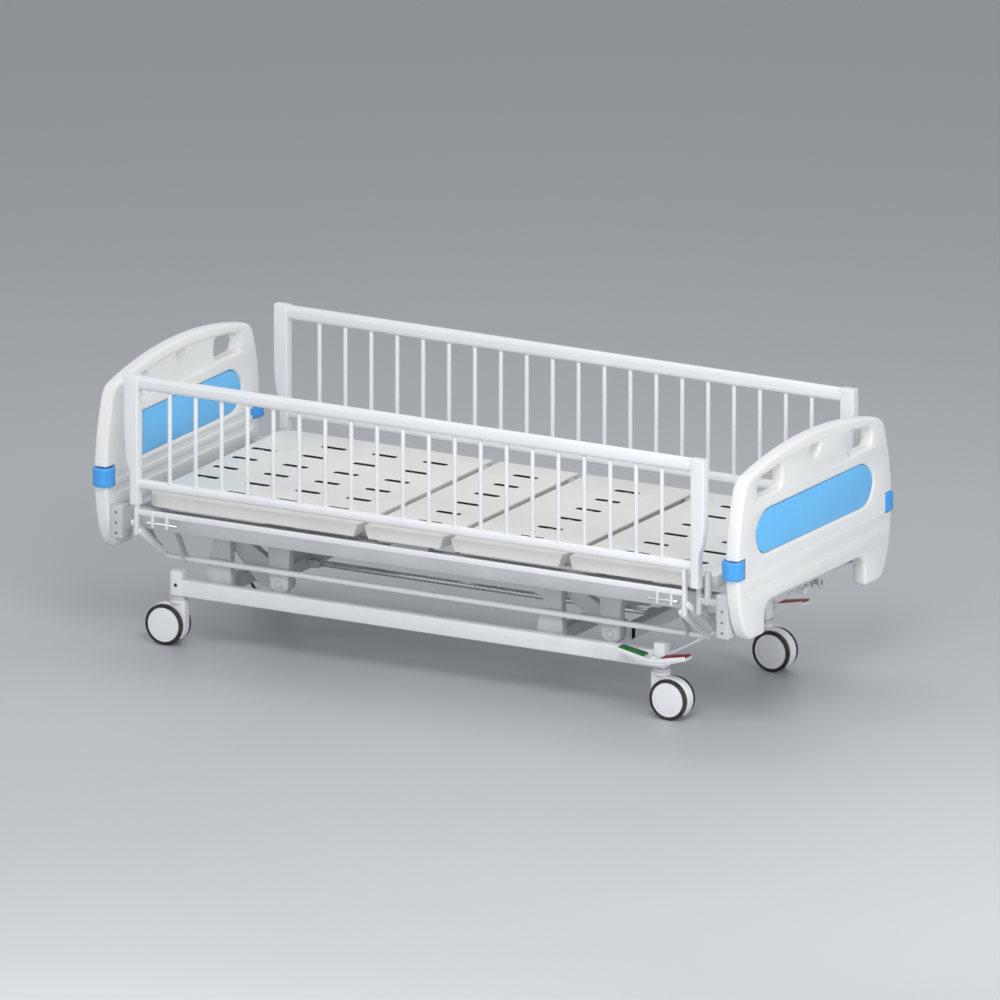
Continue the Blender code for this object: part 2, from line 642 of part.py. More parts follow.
for end, way in ENDS:
    pivot = (LIFT_PIVOTS[end], LIFT_PIVOT_HEIGHT)
    pin = LIFT_PINS[end]
    link = LINK_ENDS[end]
    tube = (link[0] + way * TUBE_REACH, pin[1])
    half = LIFT_TUBE_SIZE / 2
    corners = [(tube[0] + x, tube[1] + z) for x in (-half, half) for z in (-half, half)]
    outline = wrapped(arc(pivot, LIFT_BOSS - LIFT_ARM_GAP, 0.0, 360.0, ROUND) + arc(pin, LIFT_BOSS, 0.0,
                                                                                    360.0, ROUND)
                      + corners)
    shapes = [box((tube[0] - half, tube[0] + half), (-ARM_OUTSIDE + SEAT, ARM_OUTSIDE - SEAT),
                  (tube[1] - half, tube[1] + half))]
    lug = wrapped(arc(link, LINK_BOSS - SHY, 0.0, 360.0, ROUND) + [(tube[0], tube[1] - half / 2),
                                                                   (tube[0], tube[1] + half / 2)])
    for side, sign in SIDES:
        shapes.append(sheet(outline, "y", sign * ARM_INSIDE, sign * ARM_OUTSIDE))
        shapes.append(rod((*pivot[:1], sign * (ARM_INSIDE + WELD_SUNK), pivot[1]),
                          (pivot[0], sign * SHAFT_END, pivot[1]),
                          LIFT_SHAFT))
        shapes.append(rod((pin[0], sign * (ARM_INSIDE + WELD_SUNK), pin[1]),
                          (pin[0], sign * SHAFT_END, pin[1]),
                          LIFT_SHAFT))
        shapes.append(sheet(lug, "y", sign * LUG_INSIDE, sign * LUG_OUTSIDE))
    shapes.append(rod((link[0], -LUG_OUTSIDE + SEAT, link[1]), (link[0], LUG_OUTSIDE - SEAT, link[1]),
                      LINK_PIN))
    if end == "foot":
        shapes += lever([(tube[0] - half / 2, tube[1]), (tube[0] + half / 2, tube[1])], LIFT_TIP, 0.0)
    part("lift_arm_" + end, WHITE, (pivot[0], 0.0, pivot[1]), shapes)

head_link, foot_link = LINK_ENDS["head"], LINK_ENDS["foot"]
shapes = [rod((head_link[0], 0.0, head_link[1]), (foot_link[0], 0.0, foot_link[1]), LINK_RADIUS - SEAT)]
bores = []
for link in (head_link, foot_link):
    shapes.append(rod((link[0], -LINK_HALF, link[1]), (link[0], LINK_HALF, link[1]), LINK_BOSS))
    bores.append(bored((link[0], -TRACK, link[1]), (link[0], TRACK, link[1]), LINK_PIN + BORE_GAP))
part("lift_link", STEEL, (head_link[0], 0.0, head_link[1]), shapes, bores)

# Upper frame: side beams with hangers for the rail tubes and hinge posts
BEAM_INSIDE = BEAM_MIDDLE - BEAM_WIDTH / 2
BEAM_OUTSIDE = BEAM_MIDDLE + BEAM_WIDTH / 2
STRUTS = {"head": STRUT_HEAD, "foot": STRUT_FOOT}
ARM_STEP = STRUT_LENGTH / 2 + 2 * PIVOT_GAP
UPPER_PIVOT = (RAIL_TUBE_Y, RAIL_TUBE_Z + UPPER_ARM_RISE)
HANGER_ROUND = RAIL_TUBE_RADIUS + HANGER_THICKNESS
LUG_FACE = RAIL_UNDER_DECK + SECTION_TUBE / 2


def lying(sign, points):
    return [(sign * y, z) for y, z in points]


for side, sign in SIDES:
    shapes = [box((-END_BEAM_INSIDE + SEAT, END_BEAM_INSIDE - SEAT),
                  (sign * BEAM_INSIDE, sign * BEAM_OUTSIDE),
                  (BEAM_LOW, BEAM_HIGH))]
    bores = []
    root = [(BEAM_INSIDE + SEAT, BEAM_LOW + BEAM_WIDTH / 2), (BEAM_OUTSIDE - SEAT, BEAM_LOW + BEAM_WIDTH / 2)]
    for end, way in ENDS:
        place = STRUTS[end] - way * HANGER_INSET
        hanger = wrapped(arc((RAIL_TUBE_Y, RAIL_TUBE_Z), HANGER_ROUND, 0.0, 360.0, ROUND) + root)
        shapes.append(sheet(lying(sign, hanger), "x", place - HANGER_THICKNESS / 2,
                            place + HANGER_THICKNESS / 2))
        bores.append(bored((place - HANGER_THICKNESS, sign * RAIL_TUBE_Y, RAIL_TUBE_Z),
                         (place + HANGER_THICKNESS, sign * RAIL_TUBE_Y, RAIL_TUBE_Z),
                         RAIL_TUBE_RADIUS + BORE_GAP))
        near = STRUTS[end] + way * (ARM_STEP + RAIL_ARM_THICKNESS + 2 * PIVOT_GAP)
        hanger = wrapped(arc(UPPER_PIVOT, RAIL_ARM_BOSS, 0.0, 360.0, ROUND) + root)
        shapes.append(sheet(lying(sign, hanger), "x", near, near + way * HANGER_THICKNESS))
        shapes.append(rod((near + way * HANGER_THICKNESS / 2, sign * UPPER_PIVOT[0], UPPER_PIVOT[1]),
                          (STRUTS[end] + way * ARM_STEP, sign * UPPER_PIVOT[0], UPPER_PIVOT[1]), RAIL_PIN))
    for hinge in (BACK_HINGE, KNEE_HINGE):
        outline = [(hinge - HINGE_LUG, BEAM_HIGH - BEAM_WIDTH / 2),
                   (hinge + HINGE_LUG, BEAM_HIGH - BEAM_WIDTH / 2)]
        outline += arc((hinge, HINGE_HEIGHT), HINGE_LUG - SEAT, 0.0, 180.0, HALF_ROUND)
        shapes.append(sheet(outline, "y", sign * (BEAM_INSIDE + SEAT), sign * (BEAM_INSIDE + HINGE_LUG)))
        shapes.append(rod((hinge, sign * (BEAM_INSIDE + HINGE_LUG / 2), HINGE_HEIGHT),
                          (hinge, sign * (LUG_FACE - HINGE_LUG), HINGE_HEIGHT), HINGE_PIN))
    part("frame_side_" + side, GREY, (0.0, sign * BEAM_MIDDLE, BEAM_LOW), shapes, bores)

# Upper frame: end beams with the plates that the boards hang on, and the crank bearings
SCREWS = {"back": (-SCREW_LANE, SIDE_SCREW_HEIGHT), "lift": (0.0, MIDDLE_SCREW_HEIGHT),
          "knee": (SCREW_LANE, SIDE_SCREW_HEIGHT)}
BEARING_ROUND = 2 * SCREW_RADIUS
BEARING_THICKNESS = SCREW_RADIUS

for end, way in ENDS:
    x_beam = (way * END_BEAM_INSIDE, way * END_BEAM_OUTSIDE)
    shapes = [box(x_beam, (-BRACKET_OUTSIDE + SEAT, BRACKET_OUTSIDE - SEAT), (BEAM_LOW, BEAM_HIGH))]
    bores = []
    low = BRACKET_FOOT_LOW if end == "foot" else BRACKET_HEAD_LOW
    for side, sign in SIDES:
        shapes.append(box((x_beam[0], way * (BOARD_INSIDE - SEAT)),
                          (sign * BRACKET_INSIDE, sign * BRACKET_OUTSIDE),
                          (low, BRACKET_TOP)))
        if end == "foot":
            shapes.append(rod((SOCKET_X, sign * SOCKET_Y, SOCKET_LOW),
                              (SOCKET_X, sign * SOCKET_Y, SOCKET_TOP),
                              SOCKET_RADIUS))
            shapes.append(rod((COLUMN_X, sign * SOCKET_Y, COLUMN_LOW),
                              (COLUMN_X, sign * SOCKET_Y, COLUMN_TOP),
                              COLUMN_RADIUS))
            shapes.append(box((COLUMN_X, x_beam[0] + SOCKET_RADIUS),
                              (sign * (SOCKET_Y - SOCKET_BORE), sign * (SOCKET_Y + SOCKET_BORE)),
                              (SOCKET_LOW + SEAT, BEAM_HIGH + SEAT)))
            bores.append(bored((SOCKET_X, sign * SOCKET_Y, BRACKET_TOP),
                               (SOCKET_X, sign * SOCKET_Y, SOCKET_TOP * 2),
                             SOCKET_BORE))
    if end == "foot":
        for lane, height in SCREWS.values():
            outline = wrapped(arc((lane, height), BEARING_ROUND, 0.0, 360.0, ROUND)
                              + [(lane - BEARING_ROUND, BEAM_LOW + BEARING_ROUND),
                                 (lane + BEARING_ROUND, BEAM_LOW + BEARING_ROUND)])
            shapes.append(sheet(outline, "x", END_BEAM_INSIDE + SEAT, END_BEAM_INSIDE + BEARING_THICKNESS))
            bores.append(bored((END_BEAM_INSIDE - BEARING_THICKNESS, lane, height),
                             (END_BEAM_INSIDE + BEARING_THICKNESS + WELD_SUNK, lane, height),
                             SCREW_RADIUS + BORE_GAP))
    part("frame_end_" + end, GREY, (way * END_BEAM_INSIDE, 0.0, BEAM_LOW), shapes, bores)

# Upper frame: cross tubes with the brackets that hang on the lift arms' pins
for end, pin in LIFT_PINS.items():
    x_tube = (pin[0] - FRAME_CROSS_WIDTH / 2, pin[0] + FRAME_CROSS_WIDTH / 2)
    shapes = [box(x_tube, (-BEAM_INSIDE + SEAT, BEAM_INSIDE - SEAT), (FRAME_CROSS_LOW, FRAME_CROSS_HIGH))]
    bores = [bored((pin[0], -TRACK, pin[1]), (pin[0], TRACK, pin[1]), LIFT_SHAFT + BORE_GAP)]
    outline = wrapped(arc(pin, LIFT_BOSS + LIFT_ARM_GAP, 180.0, 360.0, ROUND)
                      + [(pin[0] - FRAME_CROSS_WIDTH, FRAME_CROSS_LOW + SEAT),
                         (x_tube[0], FRAME_CROSS_HIGH - SEAT),
                         (pin[0] + FRAME_CROSS_WIDTH, FRAME_CROSS_LOW + SEAT),
                         (x_tube[1], FRAME_CROSS_HIGH - SEAT)])
    for side, sign in SIDES:
        shapes.append(sheet(outline, "y", sign * PEDESTAL_INSIDE, sign * PEDESTAL_OUTSIDE))
    if end == "foot":
        for name in ("back", "knee"):
            lane, height = SCREWS[name]
            outline = wrapped(arc((lane, height), BEARING_ROUND, 0.0, 360.0, ROUND)
                              + [(lane - BEARING_ROUND, FRAME_CROSS_LOW + BEARING_ROUND),
                                 (lane + BEARING_ROUND, FRAME_CROSS_LOW + BEARING_ROUND)])
            shapes.append(sheet(outline, "x", pin[0] - BEARING_THICKNESS / 2, pin[0] + BEARING_THICKNESS / 2))
            bores.append(bored((pin[0] - BEARING_THICKNESS, lane, height),
                               (pin[0] + BEARING_THICKNESS, lane, height),
                             SCREW_RADIUS + BORE_GAP))
    part("frame_cross_" + end, GREY, (pin[0], 0.0, FRAME_CROSS_LOW), shapes, bores)

# Mattress deck: four pressed sheets with rows of slots
DECK_LOW = DECK_TOP - DECK_SKIRT
DECK_UNDER = DECK_TOP - DECK_WALL
FRAME_TOP = DECK_UNDER - SEAT
SECTIONS = {
    "back": (DECK_HEAD, BACK_HINGE - DECK_GAP / 2, SLOT_ROWS_BACK),
    "seat": (BACK_HINGE + DECK_GAP / 2, KNEE_HINGE - DECK_GAP / 2, SLOT_ROWS_SEAT),
    "thigh": (KNEE_HINGE + DECK_GAP / 2, CALF_HINGE - DECK_GAP / 2, SLOT_ROWS_THIGH),
    "calf": (CALF_HINGE + DECK_GAP / 2, DECK_FOOT, SLOT_ROWS_CALF)}
HINGES = {"back": BACK_HINGE, "seat": None, "thigh": KNEE_HINGE, "calf": CALF_HINGE}
END_SLOPE = DECK_GAP / 2
NOTCH_INSIDE = LUG_FACE - SECTION_TUBE - 2 * PIVOT_GAP
NOTCH_OUTSIDE = LUG_FACE + 2 * PIVOT_GAP

for name, (start, stop, rows) in SECTIONS.items():
    outline = []
    for x, y, outer in ((stop, DECK_HALF, DECK_FOOT), (start, DECK_HALF, DECK_HEAD),
                        (start, -DECK_HALF, DECK_HEAD),
                        (stop, -DECK_HALF, DECK_FOOT)):
        if x != outer:
            outline.append((x, y))
            continue
        towards_x = math.copysign(DECK_CORNER, x)
        towards_y = math.copysign(DECK_CORNER, y)
        turn = {(1, 1): 0.0, (-1, 1): 90.0, (-1, -1): 180.0, (1, -1): 270.0}[
            (int(math.copysign(1, x)), int(math.copysign(1, y)))]
        outline += arc((x - towards_x, y - towards_y), DECK_CORNER, turn, turn + 90.0, 5)
    cuts = []
    limits = [start + DECK_WALL, stop - DECK_WALL]
    for edge, outer, way, place in ((start, DECK_HEAD, 1, 0), (stop, DECK_FOOT, -1, 1)):
        if edge == outer:
            continue
        slope = [(edge - way * END_SLOPE, DECK_UNDER), (edge, DECK_UNDER),
                 (edge + way * END_SLOPE, DECK_LOW - SEAT),
                 (edge + way * END_SLOPE, DECK_LOW - END_SLOPE),
                 (edge - way * END_SLOPE, DECK_LOW - END_SLOPE)]
        cuts.append(sheet(slope, "y", -2 * DECK_HALF, 2 * DECK_HALF))
        if abs(edge - CALF_HINGE) < DECK_GAP:
            through = edge + way * (END_SLOPE + DECK_WALL + PIVOT_GAP)
            for side, sign in SIDES:
                cuts.append(box((edge - way * END_SLOPE, through),
                                (sign * NOTCH_INSIDE, sign * NOTCH_OUTSIDE),
                                (DECK_LOW - END_SLOPE, DECK_UNDER)))
        limits[place] += way * END_SLOPE
    inside = DECK_HALF - DECK_WALL
    corner = DECK_CORNER
    hollow = [(limits[0] + (corner if start == DECK_HEAD else 0.0), -inside), (limits[0], -inside + corner),
              (limits[0], inside - corner), (limits[0] + (corner if start == DECK_HEAD else 0.0), inside),
              (limits[1] - (corner if stop == DECK_FOOT else 0.0), inside), (limits[1], inside - corner),
              (limits[1], -inside + corner), (limits[1] - (corner if stop == DECK_FOOT else 0.0), -inside)]
    cuts.append(sheet(hollow, "z", DECK_LOW - DECK_SKIRT, DECK_UNDER))
    slots = []
    for row in rows:
        for column in range(SLOT_COLUMNS):
            if row == SLOT_ROWS_BACK[0] and column in (0, SLOT_COLUMNS - 1):
                continue
            middle = (row, SLOT_FIRST + SLOT_PITCH * column)
            slots.append(sheet(obround(middle, SLOT_LENGTH, SLOT_WIDTH, SLOT_STEPS), "z",
                               DECK_LOW, DECK_TOP + DECK_SKIRT))
    cuts.append(together(slots))
    hinge = HINGES[name]
    origin = (hinge, 0.0, HINGE_HEIGHT) if hinge is not None else ((start + stop) / 2, 0.0, DECK_LOW)
    part("deck_" + name, WHITE, origin, [sheet(outline, "z", DECK_LOW, DECK_TOP)], cuts)

# Section frames: two rails and cross bars below each moving section, with its hinge lugs
SECTION_LOW = FRAME_TOP - SECTION_TUBE_DEEP
RAIL_Y = (RAIL_UNDER_DECK - SECTION_TUBE / 2, RAIL_UNDER_DECK + SECTION_TUBE / 2)
HINGE_START = 5 * DECK_GAP / 2
LUG_DROP = DECK_LOW - 2 * PIVOT_GAP
LUG_LOW = LUG_DROP - 2 * HINGE_LUG


def hinge_lug(hinge, way, inner, outer, sign):
    """Lug that runs under the section's end wall and up to the hinge axis."""
    top = arc((hinge, HINGE_HEIGHT), HINGE_LUG - SEAT, 0.0, 180.0, HALF_ROUND)
    if way > 0:
        top = top[::-1]
    outline = [(hinge + way * (HINGE_START + SECTION_TUBE), SECTION_LOW + SECTION_TUBE / 2),
               (hinge + way * (HINGE_START + SECTION_TUBE), LUG_LOW),
               (hinge - way * (HINGE_LUG - SEAT), LUG_LOW)]
    outline += top
    outline += [(hinge + way * (HINGE_LUG - SEAT), LUG_DROP), (hinge + way * HINGE_START, LUG_DROP),
                (hinge + way * HINGE_START, SECTION_LOW + SECTION_TUBE / 2)]
    return sheet(outline, "y", sign * inner, sign * outer)


BACK_SIDE = math.radians(BACK_SWING / 2)
KNEE_SIDE = math.radians(KNEE_SWING / 2)
BACK_TIP = (BACK_HINGE + BACK_LEVER * math.sin(BACK_SIDE), HINGE_HEIGHT - BACK_LEVER * math.cos(BACK_SIDE))
KNEE_TIP = (KNEE_HINGE - KNEE_LEVER * math.sin(KNEE_SIDE), HINGE_HEIGHT - KNEE_LEVER * math.cos(KNEE_SIDE))
SECOND_LUG = LUG_FACE + 2 * PIVOT_GAP

for name, hinge, far, way in (
        ("back", BACK_HINGE, DECK_HEAD + SECTION_INSET, -1),
        ("thigh", KNEE_HINGE, CALF_HINGE - HINGE_START, 1),
        ("calf", CALF_HINGE, DECK_FOOT - SECTION_INSET, 1)):
    near = hinge + way * HINGE_START
    shapes = []
    bores = []
    for side, sign in SIDES:
        shapes.append(box((near, far), (sign * RAIL_Y[0], sign * RAIL_Y[1]), (SECTION_LOW, FRAME_TOP)))
    for bar in (near, far - way * SECTION_TUBE, (near + far) / 2):
        shapes.append(box((bar, bar + way * SECTION_TUBE), (-RAIL_UNDER_DECK, RAIL_UNDER_DECK),
                          (SECTION_LOW + SEAT, FRAME_TOP - SEAT)))
    for side, sign in SIDES:
        if name == "calf":
            shapes.append(hinge_lug(hinge, way, LUG_FACE - SECTION_TUBE + HINGE_LUG,
                                    LUG_FACE - SECTION_TUBE + SEAT, sign))
        else:
            shapes.append(hinge_lug(hinge, way, LUG_FACE - HINGE_LUG, LUG_FACE - SEAT, sign))
        if name == "thigh":
            shapes.append(hinge_lug(CALF_HINGE, -1, LUG_FACE - HINGE_LUG, LUG_FACE - SEAT, sign))
            shapes.append(rod((CALF_HINGE, sign * (LUG_FACE - HINGE_LUG / 2), HINGE_HEIGHT),
                              (CALF_HINGE, sign * (LUG_FACE - SECTION_TUBE), HINGE_HEIGHT), HINGE_PIN))
        bores.append(bored((hinge, sign * (LUG_FACE - SECTION_TUBE - HINGE_LUG), HINGE_HEIGHT),
                         (hinge, sign * (LUG_FACE + HINGE_LUG / 2), HINGE_HEIGHT), HINGE_PIN + BORE_GAP))
    start = [(near, SECTION_LOW + SECTION_TUBE_DEEP / 4),
             (near + way * SECTION_TUBE, SECTION_LOW + HINGE_LUG)]
    if name == "back":
        shapes += lever(start, BACK_TIP, SCREWS["back"][0])
    if name == "thigh":
        shapes += lever(start, KNEE_TIP, SCREWS["knee"][0])
    part("frame_" + name, GREY, (hinge, 0.0, HINGE_HEIGHT), shapes, bores)

shapes = []
SEAT_BARS = (SECTIONS["seat"][0] + 4 * SECTION_TUBE, SECTIONS["seat"][1] - 4 * SECTION_TUBE)
for bar in SEAT_BARS:
    shapes.append(box((bar - SECTION_TUBE / 2, bar + SECTION_TUBE / 2), (-BEAM_OUTSIDE, BEAM_OUTSIDE),
                      (BEAM_HIGH + SEAT, FRAME_TOP)))
for side, sign in SIDES:
    shapes.append(box(SEAT_BARS, (sign * (BEAM_INSIDE + SEAT), sign * (BEAM_OUTSIDE - SEAT)),
                      (BEAM_HIGH + 2 * SEAT, SECTION_LOW)))
part("frame_seat", GREY, (SEAT_BARS[0], 0.0, BEAM_HIGH), shapes)

# Cranks: a screw in its bearings, and the tube that it draws along to a lever
TRAVELS = {
    "back": (BACK_TIP, -2 * BACK_LEVER * math.sin(BACK_SIDE), 0.0, BACK_LEVER * (1 - math.cos(BACK_SIDE))),
    "knee": (KNEE_TIP, 2 * KNEE_LEVER * math.sin(KNEE_SIDE), 0.0, KNEE_LEVER * (1 - math.cos(KNEE_SIDE))),
    "lift": (LIFT_TIP, -2 * (LIFT_TIP[0] - LIFT_PINS["foot"][0]), LIFT_LEVER * (1 - math.sin(
        math.radians(LIFT_LEVER_ANGLE))), 0.0)}
FORK_HALF = LEVER_THICKNESS / 2

for name, (lane, height) in SCREWS.items():
    tip, travel, up, down = TRAVELS[name]
    slot_low = tip[1] - down - LEVER_PIN - SLOT_SLACK
    slot_high = tip[1] + up + LEVER_PIN + SLOT_SLACK
    slot_half = LEVER_PIN + SLOT_SLACK
    fork_low = min(slot_low - HANGER_THICKNESS, height - PUSH_RADIUS)
    fork_high = max(slot_high + HANGER_THICKNESS, height + PUSH_RADIUS)
    reach = KNEE_FORK_REACH if name == "knee" else FORK_WIDTH / 2
    plate = sheet([(tip[0] - FORK_WIDTH / 2, fork_low), (tip[0] + reach, fork_low),
                   (tip[0] + reach, fork_high), (tip[0] - FORK_WIDTH / 2, fork_high)],
                  "y", lane - FORK_HALF, lane + FORK_HALF)
    slot = (arc((tip[0], slot_high - slot_half), slot_half, 0.0, 180.0, HALF_ROUND)
            + arc((tip[0], slot_low + slot_half), slot_half, 180.0, 360.0, HALF_ROUND))
    root = tip[0] + reach
    mouth = root + abs(travel) + 2 * SCREW_OVERLAP
    shapes = [plate, rod((root - HANGER_THICKNESS / 2, lane, height), (mouth, lane, height), PUSH_RADIUS)]
    bores = [sheet(slot, "y", lane - FORK_WIDTH, lane + FORK_WIDTH),
             bored((root + HANGER_THICKNESS, lane, height), (mouth + SCREW_OVERLAP, lane, height), PUSH_BORE)]
    part("push_tube_" + name, STEEL, (tip[0], lane, height), shapes, bores)

    point = mouth - SCREW_OVERLAP + min(travel, 0.0)
    shapes = [rod((point, lane, height), (END_BEAM_INSIDE + BEARING_THICKNESS, lane, height), SCREW_RADIUS),
              rod((CRANK_PLANE - CRANK_HUB, lane, height), (CRANK_PLANE + CRANK_HUB, lane, height),
                  CRANK_HUB)]
    sign = -1 if lane < 0.0 else 1
    grip = (lane + sign * CRANK_ARM_SIDE, height) if lane else (lane, height + CRANK_ARM_MIDDLE)
    outline = wrapped(arc((lane, height), CRANK_HUB - SEAT, 0.0, 360.0, ROUND) + arc(grip, GRIP_RADIUS,
                                                                                     0.0, 360.0, ROUND))
    shapes.append(sheet(outline, "x", CRANK_PLANE - CRANK_ARM_THICKNESS / 2,
                        CRANK_PLANE + CRANK_ARM_THICKNESS / 2))
    shapes.append(rod((CRANK_PLANE, *grip), (CRANK_PLANE - GRIP_LENGTH, *grip), GRIP_RADIUS - SEAT))
    part("crank_" + name, WHITE, (CRANK_PLANE, lane, height), shapes)

# Boards: moulded head and foot boards with handle holes and a blue panel let in


def rounded(corners, reach, steps=4):
    """Outline with each corner swept by a curve that starts at a reach from it."""
    points = []
    for number, corner in enumerate(corners):
        here = Vector(corner)
        before = Vector(corners[number - 1])
        after = Vector(corners[(number + 1) % len(corners)])
        first = here + (before - here).normalized() * reach
        last = here + (after - here).normalized() * reach
        for step in range(steps + 1):
            part_way = step / steps
            toward = first.lerp(here, part_way)
            point = toward.lerp(here.lerp(last, part_way), part_way)
            points.append((point.x, point.y))
    return points


def board_half():
    """Edge of the right half of a board, from the middle of the cut-out round to the crest."""
    points = arc((LEG_INSIDE - BOARD_CUT_RADIUS, BOARD_CUT_TOP - BOARD_CUT_RADIUS), BOARD_CUT_RADIUS, 90.0,
                 0.0, 4)
    points.append((LEG_INSIDE, BOARD_FOOT))
    for step in range(LEG_STEPS + 1):
        angle = math.radians(90.0 * step / LEG_STEPS)
        points.append((LEG_OUTSIDE + (BOARD_HALF - LEG_OUTSIDE) * math.sin(angle),
                       BOARD_SHOULDER - (BOARD_SHOULDER - BOARD_FOOT) * math.cos(angle)))
    for step in range(1, CREST_STEPS + 1):
        angle = math.radians(90.0 * (1 - (1 - step / CREST_STEPS) ** 1.4))
        rise = (BOARD_CREST - BOARD_SHOULDER) * math.sin(angle) ** BOARD_CREST_POWER
        points.append((BOARD_HALF * math.cos(angle), BOARD_SHOULDER + rise))
    return points


PANEL = rounded([(-PANEL_HALF_LOW, PANEL_LOW), (PANEL_HALF_LOW, PANEL_LOW), (PANEL_HALF_MIDDLE, PANEL_MIDDLE),
                 (PANEL_HALF_TOP, PANEL_TOP), (-PANEL_HALF_TOP, PANEL_TOP),
                 (-PANEL_HALF_MIDDLE, PANEL_MIDDLE)], 0.030)
WINDOW = rounded([(-PANEL_HALF_LOW - SEAT, PANEL_LOW - SEAT), (PANEL_HALF_LOW + SEAT, PANEL_LOW - SEAT),
                  (PANEL_HALF_MIDDLE + 2 * SEAT, PANEL_MIDDLE), (PANEL_HALF_TOP + SEAT, PANEL_TOP + SEAT),
                  (-PANEL_HALF_TOP - SEAT, PANEL_TOP + SEAT),
                  (-PANEL_HALF_MIDDLE - 2 * SEAT, PANEL_MIDDLE)], 0.030)
SHIELD = rounded([(-SHIELD_WIDTH / 2, SHIELD_Z + SHIELD_HEIGHT / 2), (-SHIELD_WIDTH / 2, SHIELD_Z),
                  (0.0, SHIELD_Z - SHIELD_HEIGHT / 2), (SHIELD_WIDTH / 2, SHIELD_Z),
                  (SHIELD_WIDTH / 2, SHIELD_Z + SHIELD_HEIGHT / 2)], 0.009, 3)
BUMPER_X = (BUMPER_MIDDLE - BUMPER_LENGTH / 2, BUMPER_MIDDLE + BUMPER_LENGTH / 2)

for end, way in ENDS:
    right = board_half()
    outline = right + [(-y, z) for y, z in right[-2::-1]]
    x_board = (way * BOARD_INSIDE, way * BOARD_OUTSIDE)
    x_through = (0.0, way * 2 * BOARD_OUTSIDE)
    holes = [sheet(SHIELD, "x", *x_through), sheet(WINDOW, "x", *x_through)]
    for side, sign in SIDES:
        holes.append(sheet(obround((sign * HANDLE_Y, HANDLE_Z), HANDLE_LENGTH, HANDLE_HEIGHT), "x",
                           *x_through))
        holes.append(box((0.0, way * 2 * BOARD_OUTSIDE), (sign * (BUMPER_SEAT - SEAT), sign * 2 * BOARD_HALF),
                         (BUMPER_LOW - SEAT, BUMPER_TOP + SEAT)))
    part("board_" + end, PLASTIC, (way * BOARD_INSIDE, 0.0, BOARD_CUT_TOP),
         [sheet(outline, "x", *x_board)], holes)
    part("panel_" + end, BLUE, (way * BOARD_INSIDE, 0.0, PANEL_LOW),
         [sheet(PANEL, "x", way * (BOARD_INSIDE + PANEL_SET_BACK), way * (BOARD_OUTSIDE - PANEL_SET_BACK))])
    for side, sign in SIDES:
        outline = rounded([(BUMPER_X[0], BUMPER_SEAT), (BUMPER_X[0], BUMPER_OUTSIDE),
                           (BUMPER_X[1], BUMPER_OUTSIDE),
                           (BUMPER_X[1], BUMPER_SEAT)], 0.006, 3)
        outline = [(way * x, sign * y) for x, y in outline]
        part("bumper_%s_%s" % (end, side), BLUE, (way * BUMPER_MIDDLE, sign * BUMPER_SEAT, BUMPER_LOW),
             [sheet(outline, "z", BUMPER_LOW, BUMPER_TOP)])

# Side rails: barred gates on two pairs of swinging arms
POST_INSIDE = {"head": RAIL_HEAD + RAIL_POST_LENGTH, "foot": RAIL_FOOT - RAIL_POST_LENGTH}
POST_OUTER = {"head": RAIL_HEAD, "foot": RAIL_FOOT}
RELEASE_FROM_STRUT = {"head": 0.0355, "foot": 0.022}
RELEASE_LUG = 0.006
STRUT_UPPER = STRUT_PIVOT + UPPER_ARM_RISE


def tube_section(middle, width, low, high):
    """Upright obround section of a flattened tube."""
    radius = width / 2
    return (arc((middle, high - radius), radius, 0.0, 180.0, TUBE_STEPS)
            + arc((middle, low + radius), radius, 180.0, 360.0, TUBE_STEPS))


